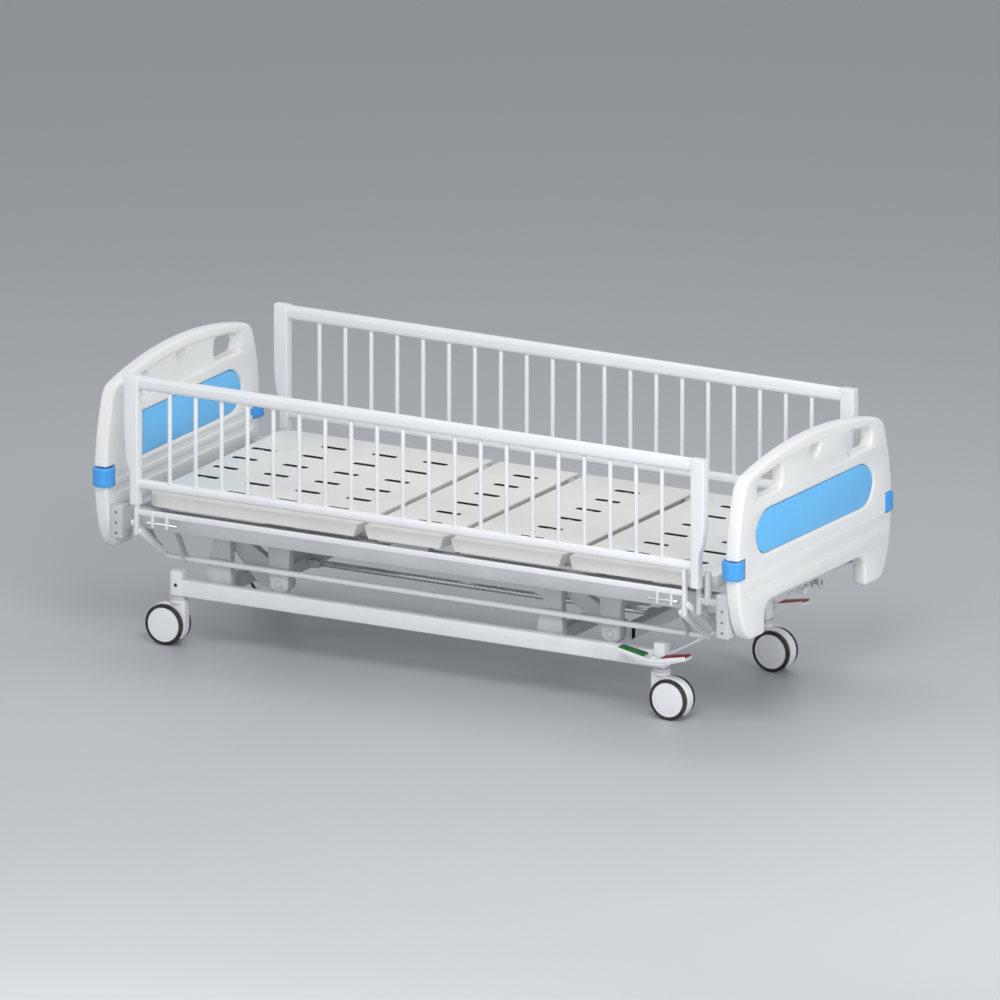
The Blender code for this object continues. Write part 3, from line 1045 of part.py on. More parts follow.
for side, sign in SIDES:
    plane = sign * RAIL_PLANE
    pivot_y = sign * RAIL_TUBE_Y
    low_top = tube_section(plane, RAIL_TOP_WIDTH, RAIL_TOP - RAIL_TOP_TUBE, RAIL_TOP - SEAT)
    low_bottom = tube_section(plane, RAIL_LOW_WIDTH, RAIL_LOW_TOP - RAIL_LOW_TUBE, RAIL_LOW_TOP)
    inner = (POST_INSIDE["head"] - RAIL_POST_TAPER / 2, POST_INSIDE["foot"] + RAIL_POST_TAPER / 2)
    shapes = [sheet(low_top, "x", *inner), sheet(low_bottom, "x", *inner)]
    bars = []
    for number in range(RAIL_BAR_COUNT):
        x = RAIL_BAR_FIRST + RAIL_BAR_PITCH * number
        bars.append(rod((x, plane, RAIL_LOW_TOP - RAIL_LOW_TUBE / 2),
                        (x, plane, RAIL_TOP - RAIL_TOP_TUBE / 2),
                        RAIL_BAR_RADIUS, BAR_STEPS))
    shapes.append(together(bars))
    cuts = []
    for end, way in ENDS:
        inside, outer = POST_INSIDE[end], POST_OUTER[end]
        outline = [(inside, RAIL_POST_LOW), (inside, RAIL_TOP), (outer, RAIL_TOP), (outer, RAIL_TAPER_TOP),
                   (outer - way * RAIL_POST_TAPER, RAIL_TAPER_LOW),
                   (outer - way * RAIL_POST_TAPER, RAIL_POST_LOW)]
        shapes.append(sheet(outline, "y", plane - RAIL_POST_WIDTH / 2, plane + RAIL_POST_WIDTH / 2))
        strut = STRUTS[end]
        x_strut = (strut - STRUT_LENGTH / 2, strut + STRUT_LENGTH / 2)
        shapes.append(box(x_strut, (plane - STRUT_WIDTH / 2, plane + STRUT_WIDTH / 2),
                          (STRUT_END, RAIL_LOW_TOP - RAIL_LOW_TUBE / 2)))
        cuts.append(bored((x_strut[0] - STRUT_LENGTH, plane, STRUT_PIVOT),
                          (x_strut[1] + STRUT_LENGTH, plane, STRUT_PIVOT),
                        RAIL_PIN + PIVOT_GAP / 2))
        cuts.append(bored((x_strut[0] - STRUT_LENGTH, plane, STRUT_UPPER),
                          (x_strut[1] + STRUT_LENGTH, plane, STRUT_UPPER),
                        RAIL_PIN + PIVOT_GAP / 2))
        outer_end = strut - way * RELEASE_FROM_STRUT[end]
        inner_end = outer_end - way * RELEASE_LENGTH
        for place in (outer_end - way * RELEASE_LENGTH / 5, inner_end + way * RELEASE_LENGTH / 3):
            shapes.append(box((place - RELEASE_LUG / 2, place + RELEASE_LUG / 2),
                              (plane - STRUT_WIDTH / 2 - PIVOT_GAP, plane + STRUT_WIDTH / 2 + PIVOT_GAP),
                              (RELEASE_HEIGHT - RELEASE_RADIUS - RELEASE_LUG, TIE_TOP - PIVOT_GAP)))
        cuts.append(bored((outer_end + way * RELEASE_LUG, plane, RELEASE_HEIGHT),
                        (inner_end - way * RELEASE_LUG, plane, RELEASE_HEIGHT), RELEASE_RADIUS + BORE_GAP))
    shapes.append(box((STRUT_HEAD, STRUT_FOOT), (plane - RAIL_LOW_WIDTH / 4, plane + RAIL_LOW_WIDTH / 4),
                      (TIE_LOW, TIE_TOP)))
    part("side_rail_" + side, WHITE, (STRUT_HEAD, plane, STRUT_PIVOT), shapes, cuts)

    arm_line = [(RAIL_TUBE_Y, RAIL_TUBE_Z), (RAIL_PLANE, STRUT_PIVOT)]
    lower = wrapped([point for middle in arm_line for point in arc(middle, RAIL_ARM_BOSS, 0.0, 360.0, ROUND)])
    tube_ends = []
    shapes = []
    for end, way in ENDS:
        face = STRUTS[end] - way * ARM_STEP
        back = face - way * RAIL_ARM_THICKNESS
        tube_ends.append(face - way * SEAT)
        shapes.append(sheet(lying(sign, lower), "x", face, back))
        shapes.append(rod((face - way * RAIL_ARM_THICKNESS / 2, plane, STRUT_PIVOT),
                          (face + way * (STRUT_LENGTH + 2 * PIVOT_GAP), plane, STRUT_PIVOT), RAIL_PIN))
    shapes.append(rod((tube_ends[0], pivot_y, RAIL_TUBE_Z), (tube_ends[1], pivot_y, RAIL_TUBE_Z),
                      RAIL_TUBE_RADIUS))
    part("rail_tube_" + side, WHITE, (STRUT_HEAD, pivot_y, RAIL_TUBE_Z), shapes)

    upper = [(y, z + UPPER_ARM_RISE) for y, z in lower]
    for end, way in ENDS:
        face = STRUTS[end] + way * ARM_STEP
        back = face + way * RAIL_ARM_THICKNESS
        shapes = [sheet(lying(sign, upper), "x", face, back),
                  rod((face + way * RAIL_ARM_THICKNESS / 2, plane, STRUT_UPPER),
                      (face - way * (STRUT_LENGTH / 2 + PIVOT_GAP), plane, STRUT_UPPER), RAIL_PIN)]
        bore = bored((face - way * RAIL_ARM_THICKNESS, sign * UPPER_PIVOT[0], UPPER_PIVOT[1]),
                   (back + way * RAIL_ARM_THICKNESS, sign * UPPER_PIVOT[0], UPPER_PIVOT[1]),
                   RAIL_PIN + BORE_GAP)
        part("rail_arm_%s_%s" % (end, side), WHITE, (face, sign * UPPER_PIVOT[0], UPPER_PIVOT[1]), shapes,
             [bore])

        outer_end = STRUTS[end] - way * RELEASE_FROM_STRUT[end]
        inner_end = outer_end - way * RELEASE_LENGTH
        part("release_%s_%s" % (end, side), GREY, (outer_end, plane, RELEASE_HEIGHT),
             [rod((outer_end, plane, RELEASE_HEIGHT), (inner_end, plane, RELEASE_HEIGHT), RELEASE_RADIUS)])
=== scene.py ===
import math

import bpy
import bmesh
from mathutils import Matrix, Vector


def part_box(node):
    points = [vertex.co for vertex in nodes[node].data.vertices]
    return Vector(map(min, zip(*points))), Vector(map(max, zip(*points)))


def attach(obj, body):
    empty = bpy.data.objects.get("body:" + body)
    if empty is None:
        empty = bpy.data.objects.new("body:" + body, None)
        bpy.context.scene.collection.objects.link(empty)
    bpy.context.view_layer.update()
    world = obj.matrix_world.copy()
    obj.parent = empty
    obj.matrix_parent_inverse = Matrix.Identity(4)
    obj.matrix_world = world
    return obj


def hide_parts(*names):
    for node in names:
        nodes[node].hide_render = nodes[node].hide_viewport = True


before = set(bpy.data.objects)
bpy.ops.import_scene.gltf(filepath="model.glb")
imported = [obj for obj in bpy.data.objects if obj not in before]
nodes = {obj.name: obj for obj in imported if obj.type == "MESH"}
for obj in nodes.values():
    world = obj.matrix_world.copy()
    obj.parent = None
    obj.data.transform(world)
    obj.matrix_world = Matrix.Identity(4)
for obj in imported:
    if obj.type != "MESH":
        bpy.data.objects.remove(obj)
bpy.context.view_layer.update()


# The studio
# A parallel view from the near corner of the foot end, with the whole bed in the frame.
# Three wide soft lamps stand before the bed, one of them low; one faces its foot and one hangs over it.
VIEW_TURN = math.radians(29.415)
VIEW_RISE = math.radians(15.378)
VIEW_MIDDLE = Vector((-0.0431, 0.1194, 0.4551))
VIEW_DISTANCE = 9
VIEW_WIDTH = 2.9586
scene = bpy.context.scene
scene.view_settings.view_transform = "Standard"
view_back = Vector((math.sin(VIEW_TURN) * math.cos(VIEW_RISE),
                    -math.cos(VIEW_TURN) * math.cos(VIEW_RISE),
                    math.sin(VIEW_RISE)))
bpy.ops.object.camera_add(location=VIEW_MIDDLE + view_back * VIEW_DISTANCE)
camera = bpy.context.object
camera.rotation_euler = view_back.to_track_quat("Z", "Y").to_euler()
camera.data.type = "ORTHO"
camera.data.ortho_scale = VIEW_WIDTH
scene.camera = camera


def soft_lamp(name, place, aim, size, watts):
    """A rectangular lamp at its place, turned towards its aim."""
    bpy.ops.object.light_add(type="AREA", location=place)
    lamp = bpy.context.object
    lamp.name = name
    lamp.rotation_euler = (Vector(place) - Vector(aim)).to_track_quat("Z", "Y").to_euler()
    lamp.data.shape = "RECTANGLE"
    lamp.data.size, lamp.data.size_y = size
    lamp.data.energy = watts


soft_lamp("lamp_key", (2.4, -3.8, 4.2), (0.1, 0, 0.4), (2.6, 2.0), 118)
soft_lamp("lamp_foot", (4.8, -1.2, 1.7), (1.0, 0, 0.6), (2.4, 1.8), 70)
soft_lamp("lamp_fill", (-3.4, -3.4, 2.4), (0, 0, 0.4), (2.4, 2.4), 32)
soft_lamp("lamp_low", (0.9, -5.2, 1.0), (0, 0, 0.3), (3.2, 1.2), 42)
soft_lamp("lamp_over", (-0.6, 1.4, 4.6), (0, 0, 0.3), (4.0, 2.4), 54)


# The floor and the surround
# Smooth pale grey flooring, all in one sheet, with a faint cloudiness.
# Cameras and mirrors see a pale surround, and the bed itself is lit by a dimmer one.
FLOOR_SIZE = 60
SURROUND_LIGHT = (0.88, 0.93, 1.0, 1)
SURROUND_STRENGTH = 0.42
SURROUND_SEEN = (0.70, 0.72, 0.74, 1)


class Value:
    """One output socket: sums on values add their Math nodes."""

    def __init__(self, owner, socket):
        self.owner = owner
        self.socket = socket

    def sum_with(self, operation, first, second):
        return self.owner.node("Math", {"operation": operation}, {0: first, 1: second})

    def __add__(self, other):
        return self.sum_with("ADD", self, other)

    def __radd__(self, other):
        return self.sum_with("ADD", other, self)

    def __sub__(self, other):
        return self.sum_with("SUBTRACT", self, other)

    def __rsub__(self, other):
        return self.sum_with("SUBTRACT", other, self)

    def __mul__(self, other):
        return self.sum_with("MULTIPLY", self, other)

    def __rmul__(self, other):
        return self.sum_with("MULTIPLY", other, self)

    def rise(self, low, high):
        """0 below low, 1 above high and smooth between them."""
        settings = {"interpolation_type": "SMOOTHSTEP"}
        return self.owner.node("MapRange", settings, {0: self, 1: low, 2: high, 3: 0, 4: 1})


class Nodes:
    """A node tree whose nodes are added one at a time."""

    def __init__(self, tree):
        self.tree = tree

    def node(self, kind, settings, inputs, output=0):
        made = self.tree.nodes.new("ShaderNode" + kind)
        for key, value in settings.items():
            setattr(made, key, value)
        for key, value in inputs.items():
            self.feed(made.inputs[key], value)
        return Value(self, made.outputs[output])

    def feed(self, socket, value):
        if isinstance(value, Value):
            self.tree.links.new(value.socket, socket)
        else:
            socket.default_value = value


class Finish(Nodes):
    """A material that reads its place on the piece and feeds one shader."""

    def __init__(self, name):
        self.material = bpy.data.materials.new(name)
        self.material.use_nodes = True
        super().__init__(self.material.node_tree)
        self.shader = self.tree.nodes["Principled BSDF"]
        self.place = self.node("TexCoord", {}, {}, "Object")

    def set(self, **sockets):
        for key, value in sockets.items():
            self.feed(self.shader.inputs[key.replace("_", " ")], value)

    def axis(self, letter):
        return self.node("SeparateXYZ", {}, {0: self.place}, letter)

    def noise(self, scale, detail=3, stretch=None):
        place = self.place
        if stretch:
            place = self.node("Mapping", {}, {"Vector": place, "Scale": stretch})
        return self.node("TexNoise", {}, {"Vector": place, "Scale": scale, "Detail": detail})

    def mixed(self, mask, first, second):
        """The first colour where the mask is 0 and the second where it is 1."""
        return self.node("Mix", {"data_type": "RGBA"}, {0: mask, 6: first, 7: second}, 2)

    def bumped(self, *layers):
        """Layers of (height, strength, distance), one upon the other."""
        normal = None
        for height, strength, distance in layers:
            sockets = {"Height": height, "Strength": strength, "Distance": distance}
            if normal:
                sockets["Normal"] = normal
            normal = self.node("Bump", {}, sockets)
        self.set(Normal=normal)


bpy.ops.mesh.primitive_plane_add(size=FLOOR_SIZE, location=(0, 0, 0))
floor = bpy.context.object
floor.name = "floor"
flooring = Finish("flooring")
clouds = flooring.noise(0.6, detail=2)
flooring.set(Base_Color=flooring.mixed(clouds, (0.47, 0.485, 0.50, 1), (0.52, 0.535, 0.55, 1)),
             Roughness=0.42 + 0.08 * clouds, Specular_IOR_Level=0.3)
floor.data.materials.append(flooring.material)

surround = bpy.data.worlds.new("surround")
scene.world = surround
surround.use_nodes = True
sky = Nodes(surround.node_tree)
lighting = sky.tree.nodes["Background"]
lighting.inputs["Color"].default_value = SURROUND_LIGHT
lighting.inputs["Strength"].default_value = SURROUND_STRENGTH
shown = sky.node("Background", {}, {"Color": SURROUND_SEEN, "Strength": 1})
seen = 0
for ray in ("Is Camera Ray", "Is Transmission Ray", "Is Glossy Ray"):
    seen = sky.node("Math", {"operation": "MAXIMUM"}, {0: seen, 1: sky.node("LightPath", {}, {}, ray)})
choice = sky.node("MixShader", {}, {0: seen, 1: Value(sky, lighting.outputs[0]), 2: shown})
sky.feed(sky.tree.nodes["World Output"].inputs["Surface"], choice)


# The base frame
# Two rectangular steel tubes, each with a castor post at either end, and two cross tubes with pedestals.
# They are cut, welded and powder coated, so the edges are round and the skin is a little uneven.
SIDES = (("left", 1), ("right", -1))
ENDS = (("head", -1), ("foot", 1))
TRACK = 0.310
STEMS = {"head": -0.893, "foot": 0.749}
STEM_BORE = 0.0103
POST_HALF = 0.019
POST_TOP = 0.230
POST_SCREW_Z = 0.186
SHAFT_Z = 0.184
SHAFT_BORE = 0.0063
LIFT_PIVOTS = {"head": (-0.765, 0.345), "foot": (0.361, 0.345)}
PIVOT_BORE = 0.0124
DUST_COLOUR = (0.36, 0.35, 0.33, 1)


def powder_coat(name, colour, shade, low=0.34, high=0.46, dusty=0.35):
    """Sprayed and baked paint with a fine orange peel, dusty towards the floor."""
    coat = Finish(name)
    clouds = coat.noise(7, detail=4)
    fine = coat.noise(420, detail=2)
    height = coat.axis("Z")
    dust = (1 - height.rise(0.02, 0.34)) * coat.noise(26, detail=6).rise(0.42, 0.72) * dusty
    paint = coat.mixed(clouds.rise(0.35, 0.7), colour, shade)
    coat.set(Base_Color=coat.mixed(dust, paint, DUST_COLOUR),
             Roughness=low + (high - low) * clouds + 0.2 * dust, Coat_Weight=0.12, Coat_Roughness=0.2)
    coat.bumped((fine, 0.05, 0.0004), (clouds, 0.04, 0.002))
    return coat.material


def plated(name, colour, low, high):
    """Bright metal with fine streaks from the polishing belt."""
    metal = Finish(name)
    streaks = metal.noise(30, detail=5, stretch=(1, 14, 14))
    spots = metal.noise(55, detail=4).rise(0.55, 0.75)
    metal.set(Base_Color=metal.mixed(spots, colour, [c * 0.86 for c in colour[:3]] + [1]),
              Roughness=low + (high - low) * streaks + 0.08 * spots, Metallic=1.0)
    metal.bumped((streaks, 0.04, 0.0005),)
    return metal.material


white_coat = powder_coat("white_powder_coat", (0.80, 0.81, 0.82, 1), (0.76, 0.77, 0.785, 1), dusty=0.12)
grey_coat = powder_coat("grey_powder_coat", (0.60, 0.615, 0.63, 1), (0.54, 0.555, 0.57, 1))
bright_plate = plated("bright_zinc_plate", (0.78, 0.79, 0.80, 1), 0.18, 0.34)
dark_screw = plated("blackened_screw_steel", (0.055, 0.057, 0.062, 1), 0.30, 0.48)


def deselect():
    bpy.ops.object.select_all(action="DESELECT")


def picked(piece):
    """Selects one object alone."""
    deselect()
    piece.select_set(True)
    bpy.context.view_layer.objects.active = piece


def settled():
    """The object just made, with its place and turn put into its mesh."""
    bpy.ops.object.transform_apply(location=True, rotation=True, scale=True)
    return bpy.context.object


def tube_block(low, high, edge=0.003, steps=3):
    """The outside of a rectangular tube or bar, bent round along its edges."""
    deselect()
    spots = [sorted(pair) for pair in zip(low, high)]
    bpy.ops.mesh.primitive_cube_add(size=1, location=[(a + b) / 2 for a, b in spots])
    bpy.context.object.scale = [b - a for a, b in spots]
    block = settled()
    bpy.ops.object.mode_set(mode="EDIT")
    bpy.ops.mesh.select_all(action="SELECT")
    bpy.ops.mesh.bevel(offset=edge, segments=steps, affect="EDGES")
    bpy.ops.object.mode_set(mode="OBJECT")
    return block


def round_bar(start, end, radius, rim=0.001, sides=28):
    """A turned bar between two points, with both rims eased."""
    deselect()
    line = Vector(end) - Vector(start)
    bpy.ops.mesh.primitive_cylinder_add(vertices=sides, radius=radius, depth=line.length,
                                        location=(Vector(start) + Vector(end)) / 2,
                                        rotation=line.to_track_quat("Z", "Y").to_euler())
    bar = settled()
    bpy.ops.object.mode_set(mode="EDIT")
    bpy.ops.mesh.select_mode(type="EDGE")
    bpy.ops.mesh.select_all(action="DESELECT")
    shape = bmesh.from_edit_mesh(bar.data)
    for edge in shape.edges:
        edge.select_set(any(len(face.verts) > 4 for face in edge.link_faces))
    bmesh.update_edit_mesh(bar.data)
    bpy.ops.mesh.bevel(offset=rim, segments=2, affect="EDGES")
    bpy.ops.object.mode_set(mode="OBJECT")
    return bar


def plate(outlines, axis, low, high, edge=0.0012, steps=2):
    """A cut plate between two planes across an axis; outlines after the first are holes in it."""
    deselect()
    low, high = sorted((low, high))
    wires = []
    for outline in outlines:
        bpy.ops.mesh.primitive_circle_add(vertices=len(outline), fill_type="NOTHING")
        wires.append(bpy.context.object)
        for vertex, (across, up) in zip(wires[-1].data.vertices, outline):
            vertex.co = (across, -up if axis == "y" else up, 0)
    for wire in wires:
        wire.select_set(True)
    if len(wires) > 1:
        bpy.ops.object.join()
    bpy.ops.object.convert(target="CURVE")
    sheet = bpy.context.object
    sheet.data.dimensions = "2D"
    sheet.data.fill_mode = "BOTH"
    sheet.data.extrude = (high - low) / 2 - edge
    sheet.data.bevel_depth = edge
    sheet.data.bevel_resolution = steps
    sheet.data.offset = -edge
    bpy.ops.object.convert(target="MESH")
    quarter = math.pi / 2
    middle = (low + high) / 2
    sheet.rotation_euler = {"x": (quarter, 0, quarter), "y": (-quarter, 0, 0), "z": (0, 0, 0)}[axis]
    sheet.location = {"x": (middle, 0, 0), "y": (0, middle, 0), "z": (0, 0, middle)}[axis]
    sheet = settled()
    bpy.ops.object.mode_set(mode="EDIT")
    bpy.ops.mesh.select_all(action="SELECT")
    bpy.ops.mesh.remove_doubles(threshold=0.00002)
    bpy.ops.mesh.normals_make_consistent(inside=False)
    bpy.ops.object.mode_set(mode="OBJECT")
    return sheet


def bend(centre, radius, start, end, steps=8):
    """Points on an arc, both ends included, angles in degrees."""
    turns = [math.radians(start + (end - start) * step / steps) for step in range(steps + 1)]
    return [(centre[0] + radius * math.cos(a), centre[1] + radius * math.sin(a)) for a in turns]


def bore(centre, radius, steps=24):
    """The outline of a round hole."""
    return bend(centre, radius, 360, 0, steps)[:-1]


def to_side(outline, sign):
    """An outline of (y, z) points on the left side of the bed, or its mirror image on the right."""
    return [(sign * y, z) for y, z in outline]


def belt(rounds, steps=20):
    """The outline of a belt drawn tight around circles of (centre, radius), as most lug plates have."""
    points = []
    for centre, radius in rounds:
        points += bend(centre, radius, 0, 360, steps)[:-1]
    points = sorted(set(points))
    sides = []
    for order in (points, points[::-1]):
        chain = []
        for point in order:
            while len(chain) > 1:
                (ax, ay), (bx, by) = chain[-2:]
                if (bx - ax) * (point[1] - ay) - (by - ay) * (point[0] - ax) > 1e-12:
                    break
                chain.pop()
            chain.append(point)
        sides += chain[:-1]
    return sides


def turned(profile, centre, axis, steps=40):
    """A closed profile of (along, radius) points spun about an axis through the centre."""
    deselect()
    bpy.ops.mesh.primitive_circle_add(vertices=len(profile), fill_type="NOTHING")
    piece = bpy.context.object
    for vertex, (along, radius) in zip(piece.data.vertices, profile):
        vertex.co = {"x": (along, 0, radius), "y": (radius, along, 0), "z": (radius, 0, along)}[axis]
    bpy.ops.object.mode_set(mode="EDIT")
    bpy.ops.mesh.select_all(action="SELECT")
    line = {"x": (1, 0, 0), "y": (0, 1, 0), "z": (0, 0, 1)}[axis]
    bpy.ops.mesh.spin(steps=steps, angle=2 * math.pi, center=(0, 0, 0), axis=line)
    bpy.ops.mesh.select_all(action="SELECT")
    bpy.ops.mesh.remove_doubles(threshold=0.00002)
    bpy.ops.mesh.dissolve_degenerate(threshold=0.00001)
    bpy.ops.mesh.select_all(action="SELECT")
    bpy.ops.mesh.normals_make_consistent(inside=False)
    bpy.ops.object.mode_set(mode="OBJECT")
    piece.location = centre
    return settled()


def carve(piece, tool):
    """Cuts the tool's shape out of the piece and takes the tool away."""
    cut = piece.modifiers.new("cut", "BOOLEAN")
    cut.operation = "DIFFERENCE"
    cut.solver = "EXACT"
    cut.object = tool
    picked(piece)
    bpy.ops.object.modifier_apply(modifier=cut.name)
    bpy.data.objects.remove(tool)


def smoothed(piece, angle=40):
    picked(piece)
    bpy.ops.object.shade_smooth_by_angle(angle=math.radians(angle))


def one_piece(name, shapes, material, angle=40):
    """The shapes welded into one object with one finish."""
    deselect()
    for shape in shapes:
        shape.select_set(True)
    bpy.context.view_layer.objects.active = shapes[0]
    if len(shapes) > 1:
        bpy.ops.object.join()
    piece = bpy.context.object
    piece.name = name
    smoothed(piece, angle)
    piece.data.materials.clear()
    piece.data.materials.append(material)
    return piece


def mounted(piece, body, slot, *replaced):
    """Rides on its body, and stands for the frame's own nodes where some are named."""
    if replaced:
        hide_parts(*replaced)
    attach(piece, body)


def welded(name, shapes, material, body, slot, *replaced, angle=40):
    """The shapes in one piece, mounted on its body."""
    mounted(one_piece(name, shapes, material, angle), body, slot, *replaced)


def copied(piece, name, matrix):
    """A copy with its own mesh, moved or turned into its place."""
    picked(piece)
    bpy.ops.object.duplicate()
    copy = bpy.context.object
    copy.name = name
    copy.data.transform(matrix)
    return copy


def screw_head(centre, axis, way, radius=0.0055, rise=0.0022):
    """A domed cap head with a hexagon socket, standing on a face that looks along the axis."""
    dome = [(0.0, 0.0), (0.0, radius), (way * rise * 0.5, radius), (way * rise, radius * 0.72),
            (way * rise, radius * 0.48), (way * rise * 0.25, radius * 0.45), (way * rise * 0.25, 0.0)]
    return turned(dome, centre, axis, 18)


def washer(centre, sign, out):
    """The raised ring around a pivot, on the outer face of its plate and out in radius."""
    ring = [(0.0, 0.0126), (sign * 0.0022, 0.0126), (sign * 0.0028, 0.0135), (sign * 0.0028, out - 0.0015),
            (sign * 0.0020, out - 0.0002), (0.0, out)]
    return turned(ring, centre, "y")


for side, sign in SIDES:
    rail = tube_block((STEMS["head"], sign * 0.295, 0.1525), (STEMS["foot"], sign * 0.325, 0.203), 0.004)
    posts = []
    for stem in STEMS.values():
        post = tube_block((stem - POST_HALF, sign * (TRACK - POST_HALF), 0.1521),
                          (stem + POST_HALF, sign * (TRACK + POST_HALF), POST_TOP), 0.0045)
        carve(post, round_bar((stem, sign * TRACK, 0.14), (stem, sign * TRACK, 0.1655), STEM_BORE))
        posts.append(post)
    carve(posts[0], round_bar((STEMS["head"], sign * 0.3265, POST_SCREW_Z),
                              (STEMS["head"], sign * 0.340, POST_SCREW_Z), 0.0062, 0.0005))
    for bored in (posts[1], rail):
        carve(bored, round_bar((STEMS["foot"], sign * 0.2, SHAFT_Z), (STEMS["foot"], sign * 0.4, SHAFT_Z),
                               SHAFT_BORE))
    welded("base_tube_" + side, [rail] + posts, white_coat, "base", "white_steel", "base_side_" + side)
    screw = screw_head((STEMS["head"], sign * 0.3267, POST_SCREW_Z), "y", sign, 0.0052, 0.0018)
    welded("post_screw_" + side, [screw], dark_screw, "base", "black_tread")

for end, (x, z) in LIFT_PIVOTS.items():
    shapes = [tube_block((x - 0.035, -0.2945, 0.157), (x + 0.005, 0.2945, 0.197), 0.004)]
    feet = [((x + away, height), 0.003) for away in (-0.057, 0.027) for height in (0.160, 0.194)]
    for side, sign in SIDES:
        leg = belt([((x, z), 0.026)] + feet)
        shapes.append(plate([leg, bore((x, z), PIVOT_BORE, 28)], "y", sign * 0.245, sign * 0.275, 0.003))
        shapes.append(washer((x, sign * 0.2747, z), sign, 0.0230))
    welded("pedestals_" + end, shapes, grey_coat, "base", "white_steel", "base_cross_" + end)


# Boards
# The headboard and footboard are blow-moulded in warm white plastic, thick and round along every edge.
# Each has two hand holes, a small shield-shaped one, a blue panel, and ribs on the side of the mattress.
BOARD_X = 1.0725
BOARD_THICK = 0.045
BOARD_HALF = 0.465
LEG_HALF = 0.381
LEG_FOOT = 0.300
LEG_ROUND = 0.012
CUT_HALF = 0.302
CUT_TOP = 0.396
CUT_ROUND = 0.045
CREST_LOW = 0.548
SHOULDER = (0.4245, 0.758)
CROWN_HALF = 0.3780
CREST_TOP = 0.8445
CREST_RADIUS = 1.617
FURROWS = ((0.464, 0.492), (0.505, 0.530))
SEAM_Z = 0.455
ROLLER_X = 1.0685
ROLLER_Y = 0.4475
ROLLER_Z = 0.52675
ROLLER_SEAT = 0.0372
ROLLER_SEAT_HALF = 0.0315


def moulding(name, colour, shade, roughness=0.36, skin=0.05):
    """Moulded plastic with a faint pebbled skin and rubbed places."""
    plastic = Finish(name)
    clouds = plastic.noise(5, detail=3)
    pebble = plastic.noise(700, detail=2)
    scuffs = plastic.noise(60, detail=6, stretch=(1, 1, 6)).rise(0.62, 0.78)
    plastic.set(Base_Color=plastic.mixed(clouds.rise(0.3, 0.7), colour, shade),
                Roughness=roughness + 0.10 * clouds + 0.08 * scuffs, IOR=1.48)
    plastic.bumped((pebble, skin, 0.0003), (clouds, 0.05, 0.003))
    return plastic.material


board_plastic = moulding("warm_white_moulding", (0.84, 0.84, 0.83, 1), (0.81, 0.81, 0.80, 1))
panel_plastic = moulding("sky_blue_moulding", (0.17, 0.56, 0.97, 1), (0.15, 0.52, 0.93, 1), 0.30, 0.04)


def pill(across, up, length, tall, steps=10):
    """A hole or furrow with two round ends."""
    radius = tall / 2
    reach = length / 2 - radius
    return (bend((across + reach, up), radius, -90, 90, steps)
            + bend((across - reach, up), radius, 90, 270, steps))


def arch(half, drop=0.0, steps=18):
    """The crown of the crest from one side to the other, a round arc that lies lower by drop."""
    centre = CREST_TOP - drop - CREST_RADIUS
    across = [half * math.cos(math.pi * step / steps) for step in range(steps + 1)]
    return [(y, centre + math.sqrt(CREST_RADIUS ** 2 - y ** 2)) for y in across]


def swept_corner(first, corner, last, steps):
    """A curve that leaves first and reaches last as if it were drawn towards the corner."""
    points = []
    for step in range(steps):
        t = step / steps
        points.append(tuple((1 - t) ** 2 * a + 2 * t * (1 - t) * b + t * t * c
                            for a, b, c in zip(first, corner, last)))
    return points


def crest():
    """The sides above the rollers, the two shoulders and the crown between them."""
    side = swept_corner((BOARD_HALF, CREST_LOW), (0.4585, 0.660), SHOULDER, 12)
    shoulder = swept_corner(SHOULDER, (0.4140, 0.7905), (CROWN_HALF, 0.7990), 8)
    right = side + shoulder
    return right + arch(CROWN_HALF) + to_side(reversed(right), -1)


def board_edge():
    """Crest, sides that draw in towards two legs, and the wide cut-out between the legs."""
    turns = [math.radians(90 * step / 12) for step in range(1, 12)]
    side = [(LEG_HALF + (BOARD_HALF - LEG_HALF) * math.cos(turn),
             CREST_LOW - (CREST_LOW - LEG_FOOT) * math.sin(turn)) for turn in turns]
    side.append((LEG_HALF, LEG_FOOT))
    side += bend((CUT_HALF + LEG_ROUND, LEG_FOOT + LEG_ROUND), LEG_ROUND, -90, -180, 4)
    side += bend((CUT_HALF - CUT_ROUND, CUT_TOP - CUT_ROUND), CUT_ROUND, 0, 90, 7)
    return crest() + to_side(side, -1) + side[::-1]


def swept(corners, reach, steps=6):
    """An outline whose corners are swept by curves that start at reach from them."""
    points = []
    for number, corner in enumerate(corners):
        here = Vector(corner)
        before = Vector(corners[number - 1])
        after = Vector(corners[(number + 1) % len(corners)])
        first = here + (before - here).normalized() * reach
        last = here + (after - here).normalized() * reach
        for step in range(steps + 1):
            t = step / steps
            point = first * (1 - t) ** 2 + here * (2 * t * (1 - t)) + last * t ** 2
            points.append((point.x, point.y))
    return points


def panel_edge(grow=0.0):
    """The panel's six swept corners, let out by grow for the opening that it sits in."""
    left = [(0.321 + grow, 0.546 - grow), (0.360 + 2 * grow, 0.620), (0.306 + grow, 0.677 + grow)]
    right = to_side(left, -1)
    return swept([right[0]] + left + right[:0:-1], 0.038, 8)


